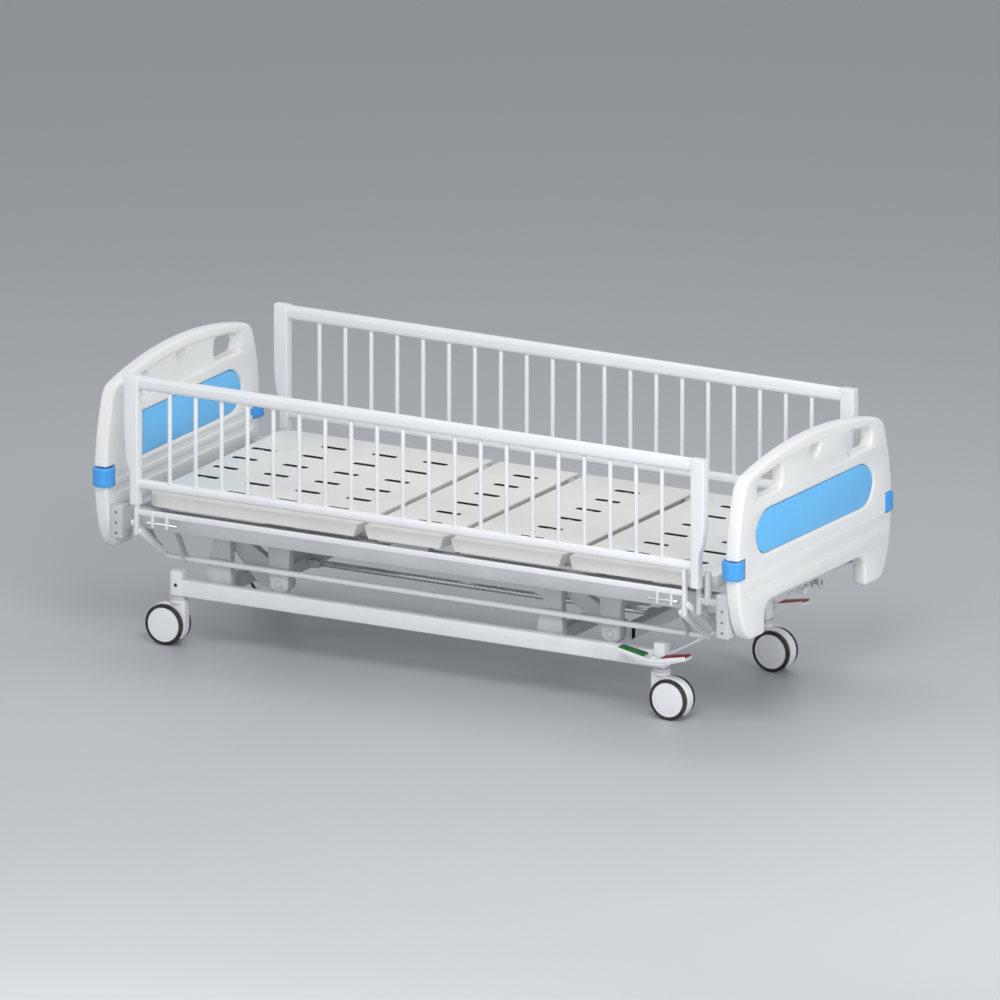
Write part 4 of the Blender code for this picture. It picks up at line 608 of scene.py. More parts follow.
shield = swept([(-0.030, 0.8065), (-0.030, 0.787), (0, 0.7670), (0.030, 0.787), (0.030, 0.8065)], 0.009)
hold = swept([(0.196, 0.7225), (0.344, 0.7225), (0.344, 0.7810), (0.196, 0.7985)], 0.0280, 7)
hollow = (arch(0.340, 0.026) + bend((-0.337, 0.727), 0.015, 180, 270, 5)
          + bend((0.337, 0.727), 0.015, 270, 360, 5))
for end, way in ENDS:
    inside = way * (BOARD_X - BOARD_THICK / 2)
    outside = way * (BOARD_X + BOARD_THICK / 2)
    holes = [hold, to_side(reversed(hold), -1), shield, panel_edge(0.0015)]
    board = plate([board_edge()] + holes, "x", inside, outside, 0.009)
    carve(board, plate([hollow], "x", inside - 0.010, inside + 0.010, 0.004))
    for low, high in FURROWS:
        furrow = pill(0, (low + high) / 2, 0.84, high - low)
        carve(board, plate([furrow], "x", inside - 0.005, inside + 0.005, 0.003))
    seam = pill(0, SEAM_Z, 0.855, 0.0030, 4)
    carve(board, plate([seam], "x", outside - 0.0015, outside + 0.0015, 0.0006))
    for side, sign in SIDES:
        ends = [(way * ROLLER_X, sign * ROLLER_Y, ROLLER_Z + up)
                for up in (-ROLLER_SEAT_HALF, ROLLER_SEAT_HALF)]
        carve(board, round_bar(*ends, ROLLER_SEAT, 0.0006, 48))
    welded("moulded_board_" + end, [board], board_plastic, "frame", "white_plastic", "board_" + end)
    panel = plate([panel_edge()], "x", inside + way * 0.0025, outside - way * 0.0025, 0.004)
    welded("blue_panel_" + end, [panel], panel_plastic, "frame", "blue_plastic", "panel_" + end)


# Corner bumpers
# A blue roller sits in each side edge of a board, so that the bed slides off door frames.
# It is a turned moulding with a slight waist, a rounded rim and a dished top, held by a steel pin.
roller_plastic = moulding("roller_blue", (0.07, 0.37, 0.84, 1), (0.06, 0.33, 0.79, 1), 0.20, 0.03)
half = [(0.0, 0.0335), (0.012, 0.0338), (0.0225, 0.0344), (0.0265, 0.0336), (0.0285, 0.0316),
        (0.0292, 0.0285), (0.0284, 0.0262), (0.0250, 0.0250), (0.0250, 0.0)]
roller = turned([(-z, r) for z, r in half[:0:-1]] + half, (0, 0, 0), "z", 48)
smoothed(roller, 35)
for end, way in ENDS:
    for side, sign in SIDES:
        spot = "%s_%s" % (end, side)
        place = Matrix.Translation((way * ROLLER_X, sign * ROLLER_Y, ROLLER_Z))
        welded("roller_" + spot, [copied(roller, "roller", place)], roller_plastic, "frame", "blue_plastic",
               "bumper_" + spot, angle=35)
bpy.data.objects.remove(roller)


# Castors
# Each castor is a white moulded hood between two wheels on one axle, with its neck around a steel stem.
# The wheels have glossy white covers and a black rubber tread; a pressed collar turns below the post.
WHEEL = 0.0625
TRAIL = 0.035
HOOD_RADIUS = 0.0644
HOOD_TOP = 0.1404
castor_white = moulding("castor_white_moulding", (0.80, 0.805, 0.81, 1), (0.77, 0.775, 0.785, 1), 0.26, 0.02)
cover_white = moulding("wheel_cover_white", (0.81, 0.815, 0.82, 1), (0.785, 0.79, 0.80, 1), 0.18, 0.015)


def rubber(name, colour, low=0.55, high=0.75):
    """Rubber with a fine grain that holds dust."""
    skin = Finish(name)
    grain = skin.noise(260, detail=4)
    dust = skin.noise(34, detail=6).rise(0.45, 0.75)
    paler = [c + 0.07 for c in colour[:3]] + [1]
    skin.set(Base_Color=skin.mixed(dust * 0.55, colour, paler), Roughness=low + (high - low) * grain)
    skin.bumped((grain, 0.18, 0.0006),)
    return skin.material


tread_rubber = rubber("black_tread_rubber", (0.012, 0.012, 0.013, 1))

hub = (TRAIL, WHEEL)
shell = bend(hub, HOOD_RADIUS, -45, 99.8, 34)[:-1]
shell += bend((0.0240, 0.1375), 0.0130, 222, 180, 5)
shell += [(0.0110, HOOD_TOP), (-0.0294, HOOD_TOP)] + bend(hub, HOOD_RADIUS, 180, 221, 12)
cheeks = plate([shell, bore(hub, 0.0084)], "y", -0.0159, 0.0159, 0.0040, 4)
throat = [(0.1281, 0.0), (0.1281, 0.0225), (0.1296, 0.0245), (0.1330, 0.0258), (0.1380, 0.0263),
          (0.1398, 0.0263), (HOOD_TOP, 0.0256), (HOOD_TOP, 0.0)]
hood = one_piece("hood", [cheeks, turned(throat, (0, 0, 0), "z", 44)], castor_white, 38)
collar = [(0.1400, 0.0), (0.1400, 0.0250), (0.1416, 0.0250), (0.1422, 0.0262), (0.1500, 0.0262),
          (0.1508, 0.0252), (0.1516, 0.0252), (0.1516, 0.0096), (0.1648, 0.0096), (0.1665, 0.0084),
          (0.1665, 0.0)]
ring = one_piece("ring", [turned(collar, (0, 0, 0), "z", 44)], grey_coat, 32)

cover = [(0.0186, 0.0), (0.0186, 0.0520), (0.0300, 0.0520), (0.0309, 0.0508), (0.0309, 0.0490),
         (0.0302, 0.0478), (0.0308, 0.0455), (0.0316, 0.0300), (0.0318, 0.0)]
tread = [(0.0184, 0.0521), (0.0184, 0.0588), (0.0196, 0.0612), (0.0222, 0.0624), (0.0250, 0.0625),
         (0.0280, 0.0623), (0.0302, 0.0612), (0.0314, 0.0590), (0.0314, 0.0540), (0.0306, 0.0526)]
covers, treads = [[turned([(way * y, r) for y, r in profile], (TRAIL, 0, WHEEL), "y", 56) for way in (-1, 1)]
                  for profile in (cover, tread)]
covers = one_piece("covers", covers, cover_white, 30)
treads = one_piece("treads", treads, tread_rubber, 30)
axle = round_bar((TRAIL, -0.0190, WHEEL), (TRAIL, 0.0190, WHEEL), 0.0079, 0.0004)
axle = one_piece("axle", [axle], bright_plate, 30)

for end, way in ENDS:
    turn = Matrix.Rotation(math.pi if way < 0 else 0, 4, "Z")
    for side, sign in SIDES:
        place = Matrix.Translation((STEMS[end], sign * TRACK, 0)) @ turn
        spot = "%s_%s" % (end, side)
        fork, wheels = "castor_fork_" + spot, "castor_wheels_" + spot
        for name, pattern, body, slot in (("castor_hood_", hood, fork, "white_plastic"),
                                          ("castor_collar_", ring, fork, "grey_steel"),
                                          ("wheel_covers_", covers, wheels, "white_plastic"),
                                          ("wheel_treads_", treads, wheels, "black_tread"),
                                          ("wheel_axle_", axle, wheels, "bright_steel")):
            mounted(copied(pattern, name + spot, place), body, slot, body)
for pattern in (hood, ring, covers, treads, axle):
    bpy.data.objects.remove(pattern)


# Brake
# One white shaft runs across the foot posts, with a white rocker pedal clamped on each end of it.
# A pedal has a raised rim at both sides, and a ribbed pad on each arm: green lets go and red locks.
BRAKE_X = STEMS["foot"]
PAD_NEAR = 0.0315
PAD_FAR = 0.1155
PAD_RIBS = 9
pad_green = rubber("green_pad_rubber", (0.012, 0.16, 0.035, 1), 0.42, 0.6)
pad_red = rubber("red_pad_rubber", (0.26, 0.010, 0.018, 1), 0.42, 0.6)


def both_arms(arm):
    """The outline of a rocker about its shaft, from that of one arm."""
    return ([(BRAKE_X + x, SHAFT_Z + z) for x, z in arm]
            + [(BRAKE_X - x, SHAFT_Z + z) for x, z in arm[:0:-1]])


shaft = round_bar((BRAKE_X, -0.354, SHAFT_Z), (BRAKE_X, 0.354, SHAFT_Z), 0.0058, 0.0008)
welded("brake_shaft", [shaft], white_coat, "brake", "white_steel", "brake_bar")
rocker = both_arms([(0.0, 0.0050), (0.1158, 0.0248), (0.1158, 0.0172), (0.1135, 0.0148), (0.030, -0.0100)])
skirt = both_arms([(0.0, 0.0020), (0.030, 0.0130), (0.1135, 0.0300), (0.1158, 0.0285), (0.1158, 0.0172),
                   (0.030, 0.0)])
for side, sign in SIDES:
    pedal = plate([rocker], "y", sign * 0.3356, sign * 0.3744, 0.0016)
    rims = [plate([skirt], "y", sign * low, sign * (low + 0.0024), 0.0008) for low in (0.3352, 0.3750)]
    hub_ring = [(0.0, 0.0060), (0.0, 0.0125), (sign * 0.0012, 0.0135), (sign * 0.0170, 0.0135),
                (sign * 0.0180, 0.0125), (sign * 0.0180, 0.0060)]
    clamp = turned(hub_ring, (BRAKE_X, sign * 0.3462, SHAFT_Z - 0.001), "y", 32)
    welded("brake_rocker_" + side, [pedal, clamp] + rims, white_coat, "brake", "white_steel", "brake_bar",
           angle=35)
    for colour, pad_rubber, way in (("green", pad_green, -1), ("red", pad_red, 1)):
        profile = []
        for step in range(4 * PAD_RIBS + 1):
            along = PAD_NEAR + (PAD_FAR - PAD_NEAR) * step / (4 * PAD_RIBS)
            lift = 0.0118 if step % 4 in (1, 2) else 0.0104
            profile.append((BRAKE_X + way * along, SHAFT_Z + lift + 0.0200 * along / 0.116))
        sole = [(BRAKE_X + way * PAD_FAR, SHAFT_Z + 0.0252), (BRAKE_X + way * PAD_NEAR, SHAFT_Z + 0.0108)]
        pad = plate([(profile + sole)[::way]], "y", sign * 0.3382, sign * 0.3745, 0.0006, 1)
        name = "%s_%s" % (colour, side)
        welded("ribbed_pad_" + name, [pad], pad_rubber, "brake", colour + "_plastic", "brake_pad_" + name,
               angle=30)


# Height linkage
# A grey steel cross tube with two plate arms swings at each end on shafts through the pedestals.
# A round rod along the middle ties both, so the crank at the foot lifts the two ends together.
ARM_PINS = {"head": (-0.57282, 0.21683), "foot": (0.55318, 0.21683)}
ARM_INNER = 0.2112
ARM_OUTER = 0.2389
EYE_BACK = 0.017
ROD_PINS = {end: (x - EYE_BACK, z) for end, (x, z) in ARM_PINS.items()}
CRANK_ARM = 0.090
CRANK_TURN = math.radians(49)
for end, way in ENDS:
    pivot, pin, rod_pin = LIFT_PIVOTS[end], ARM_PINS[end], ROD_PINS[end]
    middle = rod_pin[0] + way * 0.048
    height = pin[1]
    shapes = [tube_block((middle - 0.020, -0.2387, height - 0.020), (middle + 0.020, 0.2387, height + 0.020),
                         0.0035)]
    corners = [((middle + x, height + z), 0.0005) for x in (-0.0195, 0.0195) for z in (-0.0195, 0.0195)]
    arm = belt([(pivot, 0.020), (pin, 0.0258)] + corners)
    lug = belt([(rod_pin, 0.0125), ((middle, height - 0.008), 0.002), ((middle, height + 0.008), 0.002)])
    for side, sign in SIDES:
        shapes.append(plate([arm], "y", sign * ARM_INNER, sign * ARM_OUTER, 0.0025))
        for x, z in (pivot, pin):
            shapes.append(round_bar((x, sign * 0.214, z), (x, sign * 0.2778, z), 0.0118, 0.0015))
        shapes.append(plate([lug], "y", sign * 0.0131, sign * 0.0208, 0.001))
    shapes.append(round_bar((rod_pin[0], -0.0206, height), (rod_pin[0], 0.0206, height), 0.0058))
    if end == "foot":
        tip = (pin[0] + CRANK_ARM * math.cos(CRANK_TURN), height + CRANK_ARM * math.sin(CRANK_TURN))
        crank = belt([(tip, 0.0094)] + [((middle + x, height), 0.0006) for x in (-0.0095, 0.0095)])
        shapes.append(plate([crank], "y", 0.0061, 0.0139, 0.001))
        shapes.append(round_bar((tip[0], 0.0130, tip[1]), (tip[0], -0.0059, tip[1]), 0.0049))
    welded("lift_arms_" + end, shapes, grey_coat, "lift_arm_" + end, "white_steel", "lift_arm_" + end)

(head_x, head_z), (foot_x, foot_z) = ROD_PINS["head"], ROD_PINS["foot"]
shapes = [round_bar((head_x + 0.012, 0, head_z), (foot_x - 0.012, 0, foot_z), 0.0096)]
eye = [(-0.0098, 0.0064), (-0.0098, 0.0128), (-0.0088, 0.0139), (0.0088, 0.0139), (0.0098, 0.0128),
       (0.0098, 0.0064)]
for x, z in ROD_PINS.values():
    shapes.append(turned(eye, (x, 0, z), "y", 32))
welded("lift_rod", shapes, bright_plate, "lift_link", "bright_steel", "lift_link")


# Upper frame, long sides
# The side beams are rectangular tubes in light grey, with welded lugs that carry the side rails.
# Short posts with pins stand on them where the back and the knees hinge.
BEAM_INNER = 0.345
BEAM_OUTER = 0.375
BEAM_HALF_LENGTH = 1.0075
BEAM_LOW = 0.360
BEAM_TOP = 0.420
STRUTS = {"head": -0.9545, "foot": 0.906}
RAIL_PIVOT = (0.290, 0.262)
UPPER_PIVOT = (0.290, 0.287)
HINGES = (-0.218, 0.075)
HINGE_Z = 0.476
under_beam = [((y, 0.3745), 0.001) for y in (0.3465, 0.3735)]
lower_lug = [belt([(RAIL_PIVOT, 0.0133)] + under_beam), bore(RAIL_PIVOT, 0.0079)]
upper_lug = belt([(UPPER_PIVOT, 0.0098)] + under_beam)
for side, sign in SIDES:
    shapes = [tube_block((-BEAM_HALF_LENGTH, sign * BEAM_INNER, BEAM_LOW),
                         (BEAM_HALF_LENGTH, sign * BEAM_OUTER, BEAM_TOP), 0.0035)]
    for end, way in ENDS:
        place = STRUTS[end] - way * 0.075
        shapes.append(plate([to_side(outline, sign) for outline in lower_lug], "x", place - 0.0029,
                            place + 0.0029, 0.0008))
        near = STRUTS[end] + way * 0.018
        shapes.append(plate([to_side(upper_lug, sign)], "x", near + way * 0.0002, near + way * 0.0058,
                            0.0008))
        y, z = UPPER_PIVOT
        shapes.append(round_bar((near + way * 0.003, sign * y, z),
                                (STRUTS[end] + way * 0.0082, sign * y, z), 0.0039, 0.0005))
    for hinge in HINGES:
        post = [(hinge - 0.0068, 0.405), (hinge + 0.0068, 0.405)] + bend((hinge, HINGE_Z), 0.0066, 0, 180, 12)
        shapes.append(plate([post], "y", sign * 0.3454, sign * 0.3518, 0.0008))
        shapes.append(round_bar((hinge, sign * 0.348, HINGE_Z), (hinge, sign * 0.3285, HINGE_Z), 0.0039,
                                0.0005))
    welded("side_beam_" + side, shapes, grey_coat, "frame", "grey_steel", "frame_side_" + side)


# Upper frame, ends
# An end beam crosses each end, with a plate at either side that its board is screwed to.
# At the foot, pole sockets and guide columns stand beside the mattress, and the cranks have bearings.
CRANKS = {"back": (-0.180, 0.330), "lift": (0.0, 0.352), "knee": (0.180, 0.330)}
PLATE_LOW = {"head": 0.340, "foot": 0.307}
PLATE_SCREWS = {"head": (0.356, 0.388, 0.420), "foot": (0.325, 0.358, 0.391)}
SOCKET_X = 0.969
GUIDE_X = 0.939
SOCKET_Y = 0.4225
cup = [(0.4002, 0.0), (0.4002, 0.0095), (0.4012, 0.0105), (0.4985, 0.0105), (0.5, 0.0096), (0.5, 0.0080),
       (0.4985, 0.0071), (0.4410, 0.0071), (0.4410, 0.0)]
column = [(0.3672, 0.0), (0.3672, 0.0078), (0.3686, 0.0092), (0.5405, 0.0092), (0.5440, 0.0070),
          (0.5449, 0.0040), (0.5449, 0.0)]


def bearing(lane, height, top):
    """A lug that hangs from its beam and holds a spindle."""
    return [belt([((lane, height), 0.0158), ((lane - 0.0155, top), 0.0005), ((lane + 0.0155, top), 0.0005)]),
            bore((lane, height), 0.0084)]


for end, way in ENDS:
    shapes = [tube_block((way * 1.0082, -0.4455, 0.3602), (way * 1.0378, 0.4455, 0.4198), 0.0035)]
    screws = []
    for side, sign in SIDES:
        shapes.append(tube_block((way * 1.0088, sign * 0.4002, PLATE_LOW[end]),
                                 (way * 1.0496, sign * 0.4458, 0.440), 0.004))
        screws += [screw_head((way * 1.029, sign * 0.4456, height), "y", sign, 0.0042, 0.0004)
                   for height in PLATE_SCREWS[end]]
        if end == "foot":
            shapes.append(turned(cup, (SOCKET_X, sign * SOCKET_Y, 0), "z", 32))
            shapes.append(turned(column, (GUIDE_X, sign * SOCKET_Y, 0), "z", 32))
            shapes.append(tube_block((GUIDE_X, sign * 0.4156, 0.4005), (1.018, sign * 0.4294, 0.4200), 0.002))
    if end == "foot":
        shapes += [plate(bearing(lane, height, 0.3755), "x", 1.0085, 1.0158, 0.001)
                   for lane, height in CRANKS.values()]
    welded("end_beam_" + end, shapes, grey_coat, "frame", "grey_steel", "frame_end_" + end)
    welded("board_screws_" + end, screws, dark_screw, "frame", "black_tread")

for end, (x, z) in ARM_PINS.items():
    shapes = [tube_block((x - 0.020, -0.3446, 0.375), (x + 0.020, 0.3446, 0.415), 0.0035)]
    bracket = belt([((x, z), 0.0318), ((x - 0.0393, 0.3745), 0.0005), ((x - 0.0193, 0.4140), 0.0005),
                    ((x + 0.0193, 0.4140), 0.0005), ((x + 0.0393, 0.3745), 0.0005)])
    for side, sign in SIDES:
        shapes.append(plate([bracket, bore((x, z), PIVOT_BORE, 28)], "y", sign * 0.2452, sign * 0.2748,
                            0.003))
        shapes.append(washer((x, sign * 0.2745, z), sign, 0.0260))
    if end == "foot":
        shapes += [plate(bearing(*CRANKS[name], 0.3905), "x", x - 0.0039, x + 0.0039, 0.0008)
                   for name in ("back", "knee")]
    welded("frame_brackets_" + end, shapes, grey_coat, "frame", "grey_steel", "frame_cross_" + end)


# Mattress deck
# Four pans pressed from sheet steel: back, seat, thigh and calf, with turned-down edges and air slots.
# Every slot stands in a shallow dimple with a black lining, painted shade for the dark space below; the walls
# at the hinges lean in to clear.
DECK_TOP = 0.483
DECK_LOW = 0.442
DECK_HALF = 0.410
DECK_ENDS = (-0.945, 0.980)
CALF_HINGE = 0.478
WALL = 0.005
SHEET_UNDER = 0.4810
LEAN = 0.013
SLOT_FIRST = -0.280
SLOT_PITCH = 0.1155
SLOT_COLUMNS = 6
SLOT_CUTS = ((0.0950, 0.0320, 0.4820, 0.0009), (0.0850, 0.0220, 0.470, 0.0002))
HEAD_ROW = -0.880
PANS = {"back": ("back_section", -0.945, -0.231, (HEAD_ROW, -0.70767, -0.53533, -0.363)),
        "seat": ("frame", -0.205, 0.062, (-0.057,)), "thigh": ("thigh_section", 0.088, 0.465, (0.288,)),
        "calf": ("calf_section", 0.491, 0.980, (0.648, 0.848))}
# The black finish of the slot rings is painted shade for the shadowed space under the deck.
painted_shade_rubber = rubber("slot_painted_shade_rubber", (0.010, 0.010, 0.011, 1), 0.6, 0.8)
deck_coat = powder_coat("cream_powder_coat", (0.83, 0.82, 0.775, 1), (0.79, 0.78, 0.735, 1), dusty=0.1)


def pan_outline(start, stop, half, ends, large, small, steps):
    """A pan from above, with large corners at the ends of the deck and small ones at its hinges."""
    points = []
    for end, way, turns in ((1, 1, ((-1, 270), (1, 0))), (0, -1, ((1, 90), (-1, 180)))):
        x = (start, stop)[end]
        radius = large if ends[end] else small
        for sign, turn in turns:
            points += bend((x - way * radius, sign * (half - radius)), radius, turn, turn + 90,
                           steps if ends[end] else 2)
    return points


for name, (body, start, stop, rows) in PANS.items():
    ends = [start in DECK_ENDS, stop in DECK_ENDS]
    outline = pan_outline(start, stop, DECK_HALF, ends, 0.040, 0.004, 8)
    pan = plate([outline], "z", DECK_LOW, DECK_TOP, 0.0035, 3)
    inside = [start + WALL, stop - WALL]
    for place, (edge, way) in enumerate(((start, 1), (stop, -1))):
        if ends[place]:
            continue
        wedge = [(edge - way * LEAN, 0.4780), (edge, 0.4780), (edge + way * LEAN, 0.4417),
                 (edge + way * LEAN, 0.429), (edge - way * LEAN, 0.429)]
        carve(pan, plate([wedge], "y", -0.5, 0.5, 0.0001, 0))
        if abs(edge - CALF_HINGE) < 0.02:
            for side, sign in SIDES:
                carve(pan, tube_block((edge - way * LEAN, sign * 0.313, 0.429),
                                      (edge + way * 0.019, sign * 0.337, 0.478), 0.0002, 1))
        inside[place] += way * LEAN
    hollow = pan_outline(*inside, DECK_HALF - WALL, ends, 0.035, 0.003, 6)
    carve(pan, plate([hollow], "z", 0.400, SHEET_UNDER, 0.0008, 1))
    middles = [(row, SLOT_FIRST + SLOT_PITCH * column) for row in rows for column in range(SLOT_COLUMNS)
               if not (row == HEAD_ROW and column in (0, SLOT_COLUMNS - 1))]
    for length, width, low, edge in SLOT_CUTS:
        slots = [plate([pill(*middle, length, width, 8)], "z", low, 0.4945, edge, 1) for middle in middles]
        carve(pan, one_piece("slots", slots, deck_coat))
    # Black rings inside the slots are painted shade: they darken the slots the way the shadowed space under
    # the deck would.
    shade_rings = [plate([pill(*middle, 0.0848, 0.0218, 8), pill(*middle, 0.0820, 0.0190, 8)], "z", 0.4720, 0.4818,
                    0.0003, 1) for middle in middles]
    welded("slot_shade_rings_" + name, shade_rings, painted_shade_rubber, body, "black_tread")
    welded("deck_pan_" + name, [pan], deck_coat, body, "white_steel", "deck_" + name, angle=35)


# Section frames
# Below each pan runs a welded frame of small square steel tubes, coated grey, with its hinge lugs.
# The back and thigh frames have a flat lever each that the cranks' tubes draw on.
def finished(name, material, width):
    """One of the frame's own nodes in its finish, with its sharp edges rounded to a width."""
    node = nodes[name]
    node.data.materials.clear()
    node.data.materials.append(material)
    joined = node.modifiers.new("joined", "WELD")
    joined.merge_threshold = 0.00003
    rounded = node.modifiers.new("rounded", "BEVEL")
    rounded.width = width
    rounded.segments = 2
    rounded.limit_method = "ANGLE"
    rounded.angle_limit = math.radians(30)


for name in PANS:
    finished("frame_" + name, grey_coat, 0.0009)


# Cranks
# Each crank turns a threaded spindle below the deck, and a tube runs in or out along its thread.
# The handle is beside its spindle: a flat steel arm with a ribbed grey grip, under the footboard.
THREAD_TURN = 2094.4
SPINDLE_END = 1.0155
GRIP_STEPS = 24
GRIP_REACH = {"back": (-0.080, 0), "lift": (0, 0.066), "knee": (0.080, 0)}


def thread_steel():
    """Cut thread: fine even rings along the spindle, greased dark in their roots."""
    steel = Finish("threaded_spindle_steel")
    rings = steel.node("Math", {"operation": "SINE"}, {0: steel.axis("X") * THREAD_TURN}) * 0.5 + 0.5
    grease = (1 - rings) * steel.noise(40, detail=3).rise(0.3, 0.7)
    steel.set(Base_Color=steel.mixed(grease, (0.62, 0.63, 0.64, 1), (0.16, 0.14, 0.11, 1)),
              Roughness=0.28 + 0.25 * grease, Metallic=1.0)
    steel.bumped((rings, 0.6, 0.0008),)
    return steel.material


spindle_steel = thread_steel()
grip_grey = moulding("grip_grey_moulding", (0.50, 0.51, 0.53, 1), (0.44, 0.45, 0.47, 1), 0.42, 0.08)
hub = [(0.953, 0.0079), (0.953, 0.0108), (0.9542, 0.0119), (0.9758, 0.0119), (0.977, 0.0108), (0.977, 0.0079)]
rivet = [(0.9690, 0.0), (0.9690, 0.0062), (0.9697, 0.0072), (0.9712, 0.0072), (0.9722, 0.0052), (0.9722, 0.0)]
handle = [(0.9600, 0.0), (0.9600, 0.0088), (0.9585, 0.0104)]
for step in range(GRIP_STEPS + 1):
    waist = 0.0008 * math.sin(math.pi * step / GRIP_STEPS)
    handle.append((0.9560 - 0.056 * step / GRIP_STEPS, 0.0105 - (0.0009 if step % 2 else 0) - waist))
handle += [(0.8972, 0.0098), (0.8958, 0.0078), (0.8953, 0.0)]
for name, (lane, height) in CRANKS.items():
    node = "crank_" + name
    low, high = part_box(node)
    spindle = round_bar((low[0] + 0.0005, lane, height), (SPINDLE_END, lane, height), 0.0078, 0.0012)
    welded("spindle_" + name, [spindle], spindle_steel, node, "bright_steel", node)
    grip = (lane + GRIP_REACH[name][0], height + GRIP_REACH[name][1])
    arm = belt([((lane, height), 0.0115), (grip, 0.0105)])
    shapes = [turned(hub, (0, lane, height), "x", 32), plate([arm], "x", 0.9607, 0.9693, 0.0012),
              turned(rivet, (0, *grip), "x", 20)]
    welded("crank_arm_" + name, shapes, white_coat, node, "white_steel", node, angle=35)
    welded("crank_grip_" + name, [turned(handle, (0, *grip), "x", 32)], grip_grey, node, "grey_steel", node)

for name in CRANKS:
    finished("push_tube_" + name, bright_plate, 0.0012)


# Side rails
# Each rail is a gate of round bars between two flattened tubes, closed by a tapered post at each end.
# It hangs from thin struts below, and a flat tie bar, all welded and powder coated white.
RAIL_Y = 0.451
RAIL_LOW = 0.456
RAIL_TOP = 0.8527
RAIL_ENDS = {"head": -0.991, "foot": 0.979}
TUBE_ENDS = (-0.955, 0.943)
BAR_COUNT = 20
BAR_ENDS = (-0.843, 0.829)
POST_WIDTH = 0.046
POST_TAPER = 0.020
LOWER_PIN_Z = 0.374
UPPER_PIN_Z = 0.399
RELEASE_Z = 0.404
RELEASE_STARTS = {end: STRUTS[end] - way * back for (end, way), back in zip(ENDS, (0.0355, 0.022))}
rail_white = powder_coat("rail_white_powder_coat", (0.815, 0.82, 0.825, 1), (0.785, 0.79, 0.80, 1),
                         0.26, 0.36, dusty=0.0)


def flattened(middle, width, low, high, steps=8):
    """The section of a tube that is pressed flat at both sides."""
    radius = width / 2
    return (bend((middle, high - radius), radius, 0, 180, steps)
            + bend((middle, low + radius), radius, 180, 360, steps))


for side, sign in SIDES:
    plane = sign * RAIL_Y
    shapes = [plate([flattened(plane, 0.030, 0.810, RAIL_TOP)], "x", *TUBE_ENDS, 0.0005),
              plate([flattened(plane, 0.024, 0.506, 0.536)], "x", *TUBE_ENDS, 0.0005)]
    for number in range(BAR_COUNT):
        x = BAR_ENDS[0] + (BAR_ENDS[1] - BAR_ENDS[0]) / (BAR_COUNT - 1) * number
        shapes.append(round_bar((x, plane, 0.521), (x, plane, 0.831), 0.0065, 0.0004, 20))
        for height, way in ((0.5355, 1), (0.8105, -1)):
            weld = [(0.0, 0.0060), (0.0, 0.0082), (way * 0.0012, 0.0076), (way * 0.0028, 0.0066),
                    (way * 0.0030, 0.0060)]
            shapes.append(turned(weld, (x, plane, height), "z", 16))
    screws = []
    for end, way in ENDS:
        outer = RAIL_ENDS[end]
        inner = outer - way * POST_WIDTH
        taper = [(outer - way * POST_TAPER, RAIL_LOW), (outer - way * POST_TAPER, 0.560)]
        taper += [(outer - way * POST_TAPER * (1 - t) ** 2, 0.560 + 0.150 * t * (0.4 + 0.6 * t))
                  for t in (0.15, 0.35, 0.55, 0.75)]
        taper += [(outer, 0.710), (outer, RAIL_TOP), (inner, RAIL_TOP), (inner, RAIL_LOW)]
        shapes.append(plate([taper[::way]], "y", plane - sign * 0.017, plane + sign * 0.017, 0.0045, 3))
        strut = STRUTS[end]
        bar = tube_block((strut - 0.006, plane - 0.008, 0.3625), (strut + 0.006, plane + 0.008, 0.521),
                         0.0022)
        for height in (LOWER_PIN_Z, UPPER_PIN_Z):
            carve(bar, round_bar((strut - 0.010, plane, height), (strut + 0.010, plane, height), 0.0046,
                                 0.0004, 20))
        shapes.append(bar)
        for along in (0.0204, 0.068):
            place = RELEASE_STARTS[end] - way * along
            lug = tube_block((place - 0.003, plane - 0.009, 0.3922), (place + 0.003, plane + 0.009, 0.4408),
                             0.0010)
            carve(lug, round_bar((place - 0.006, plane, RELEASE_Z), (place + 0.006, plane, RELEASE_Z), 0.0063,
                                 0.0003, 24))
            shapes.append(lug)
        screws += [screw_head((outer - way * 0.0455, plane, height), "x", -way, 0.0048, 0.0004)
                   for height in (0.478, 0.525, 0.600, 0.790)]
    shapes.append(tube_block((STRUTS["head"], plane - 0.006, 0.426), (STRUTS["foot"], plane + 0.006, 0.442),
                             0.0022))
    rail = "side_rail_" + side
    welded("barred_rail_" + side, shapes, rail_white, rail, "white_steel", rail)
    welded("post_plugs_" + side, screws, dark_screw, rail, "black_tread")


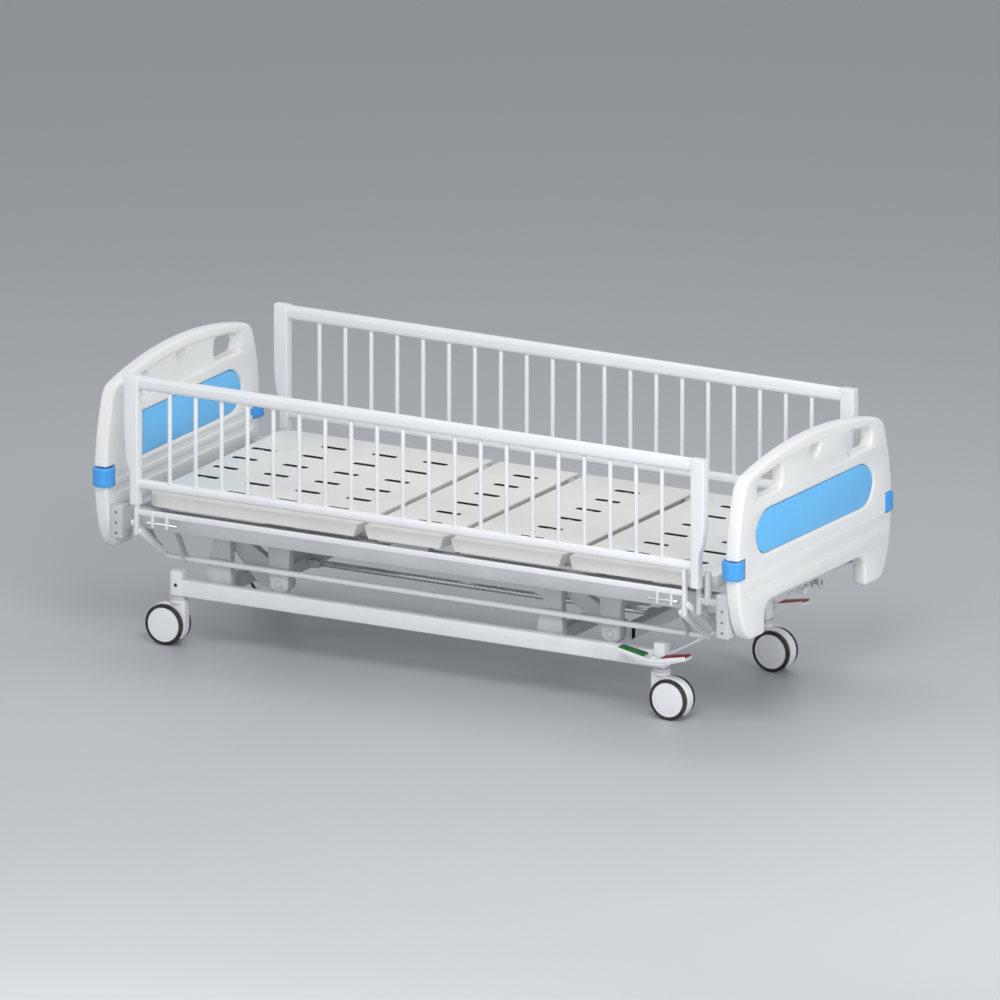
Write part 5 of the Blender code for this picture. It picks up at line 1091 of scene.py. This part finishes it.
# Rail arms and release rods
# A round tube with a welded arm at each end swings the rail, and a second arm above each keeps it upright.
# A bright rod with a knurled end slides below each end of the tie bar and holds the rail up.
SWING_RADIUS = 0.0092
ARM_THICK = 0.008
ARM_ROUND = 0.0097
lower_arm = belt([(RAIL_PIVOT, ARM_ROUND), ((RAIL_Y, LOWER_PIN_Z), ARM_ROUND)])
upper_arm = [belt([(UPPER_PIVOT, ARM_ROUND), ((RAIL_Y, UPPER_PIN_Z), ARM_ROUND)]),
             bore(UPPER_PIVOT, 0.0044, 20)]
knurled = [(0.0, 0.0), (0.0, 0.0046), (0.0012, 0.0058)]
knurled += [(0.0018 + 0.0016 * step, 0.0054 if step % 2 else 0.0060) for step in range(9)]
knurled += [(0.0160, 0.0058), (0.1005, 0.0058), (0.1018, 0.0046), (0.1018, 0.0)]
for side, sign in SIDES:
    plane = sign * RAIL_Y
    shapes = []
    for end, way in ENDS:
        face = STRUTS[end] - way * ARM_THICK
        back = face - way * ARM_THICK
        shapes.append(plate([to_side(lower_arm, sign)], "x", face - way * 0.0001, back + way * 0.0001,
                            0.0012))
        shapes.append(round_bar((back + way * 0.0040, plane, LOWER_PIN_Z),
                                (face + way * 0.0138, plane, LOWER_PIN_Z), 0.0039, 0.0006))
    y, z = RAIL_PIVOT
    shapes.append(round_bar((STRUTS["head"] + 0.0084, sign * y, z), (STRUTS["foot"] - 0.0084, sign * y, z),
                            SWING_RADIUS, 0.0008))
    tube = "rail_tube_" + side
    welded("swing_tube_" + side, shapes, rail_white, tube, "white_steel", tube, angle=35)
    for end, way in ENDS:
        spot = "%s_%s" % (end, side)
        face = STRUTS[end] + way * ARM_THICK
        arm = plate([to_side(outline, sign) for outline in upper_arm], "x", face + way * 0.0001,
                    face + way * 0.0079, 0.0012)
        pin = round_bar((face + way * 0.004, plane, UPPER_PIN_Z), (face - way * 0.0068, plane, UPPER_PIN_Z),
                        0.0039, 0.0006)
        node = "rail_arm_" + spot
        welded("upper_arm_" + spot, [arm, pin], rail_white, node, "white_steel", node, angle=35)
        profile = [(RELEASE_STARTS[end] - way * along, radius) for along, radius in knurled]
        rod = turned(profile, (0, plane, RELEASE_Z), "x", 28)
        node = "release_" + spot
        welded("release_rod_" + spot, [rod], bright_plate, node, "grey_steel", node, angle=35)
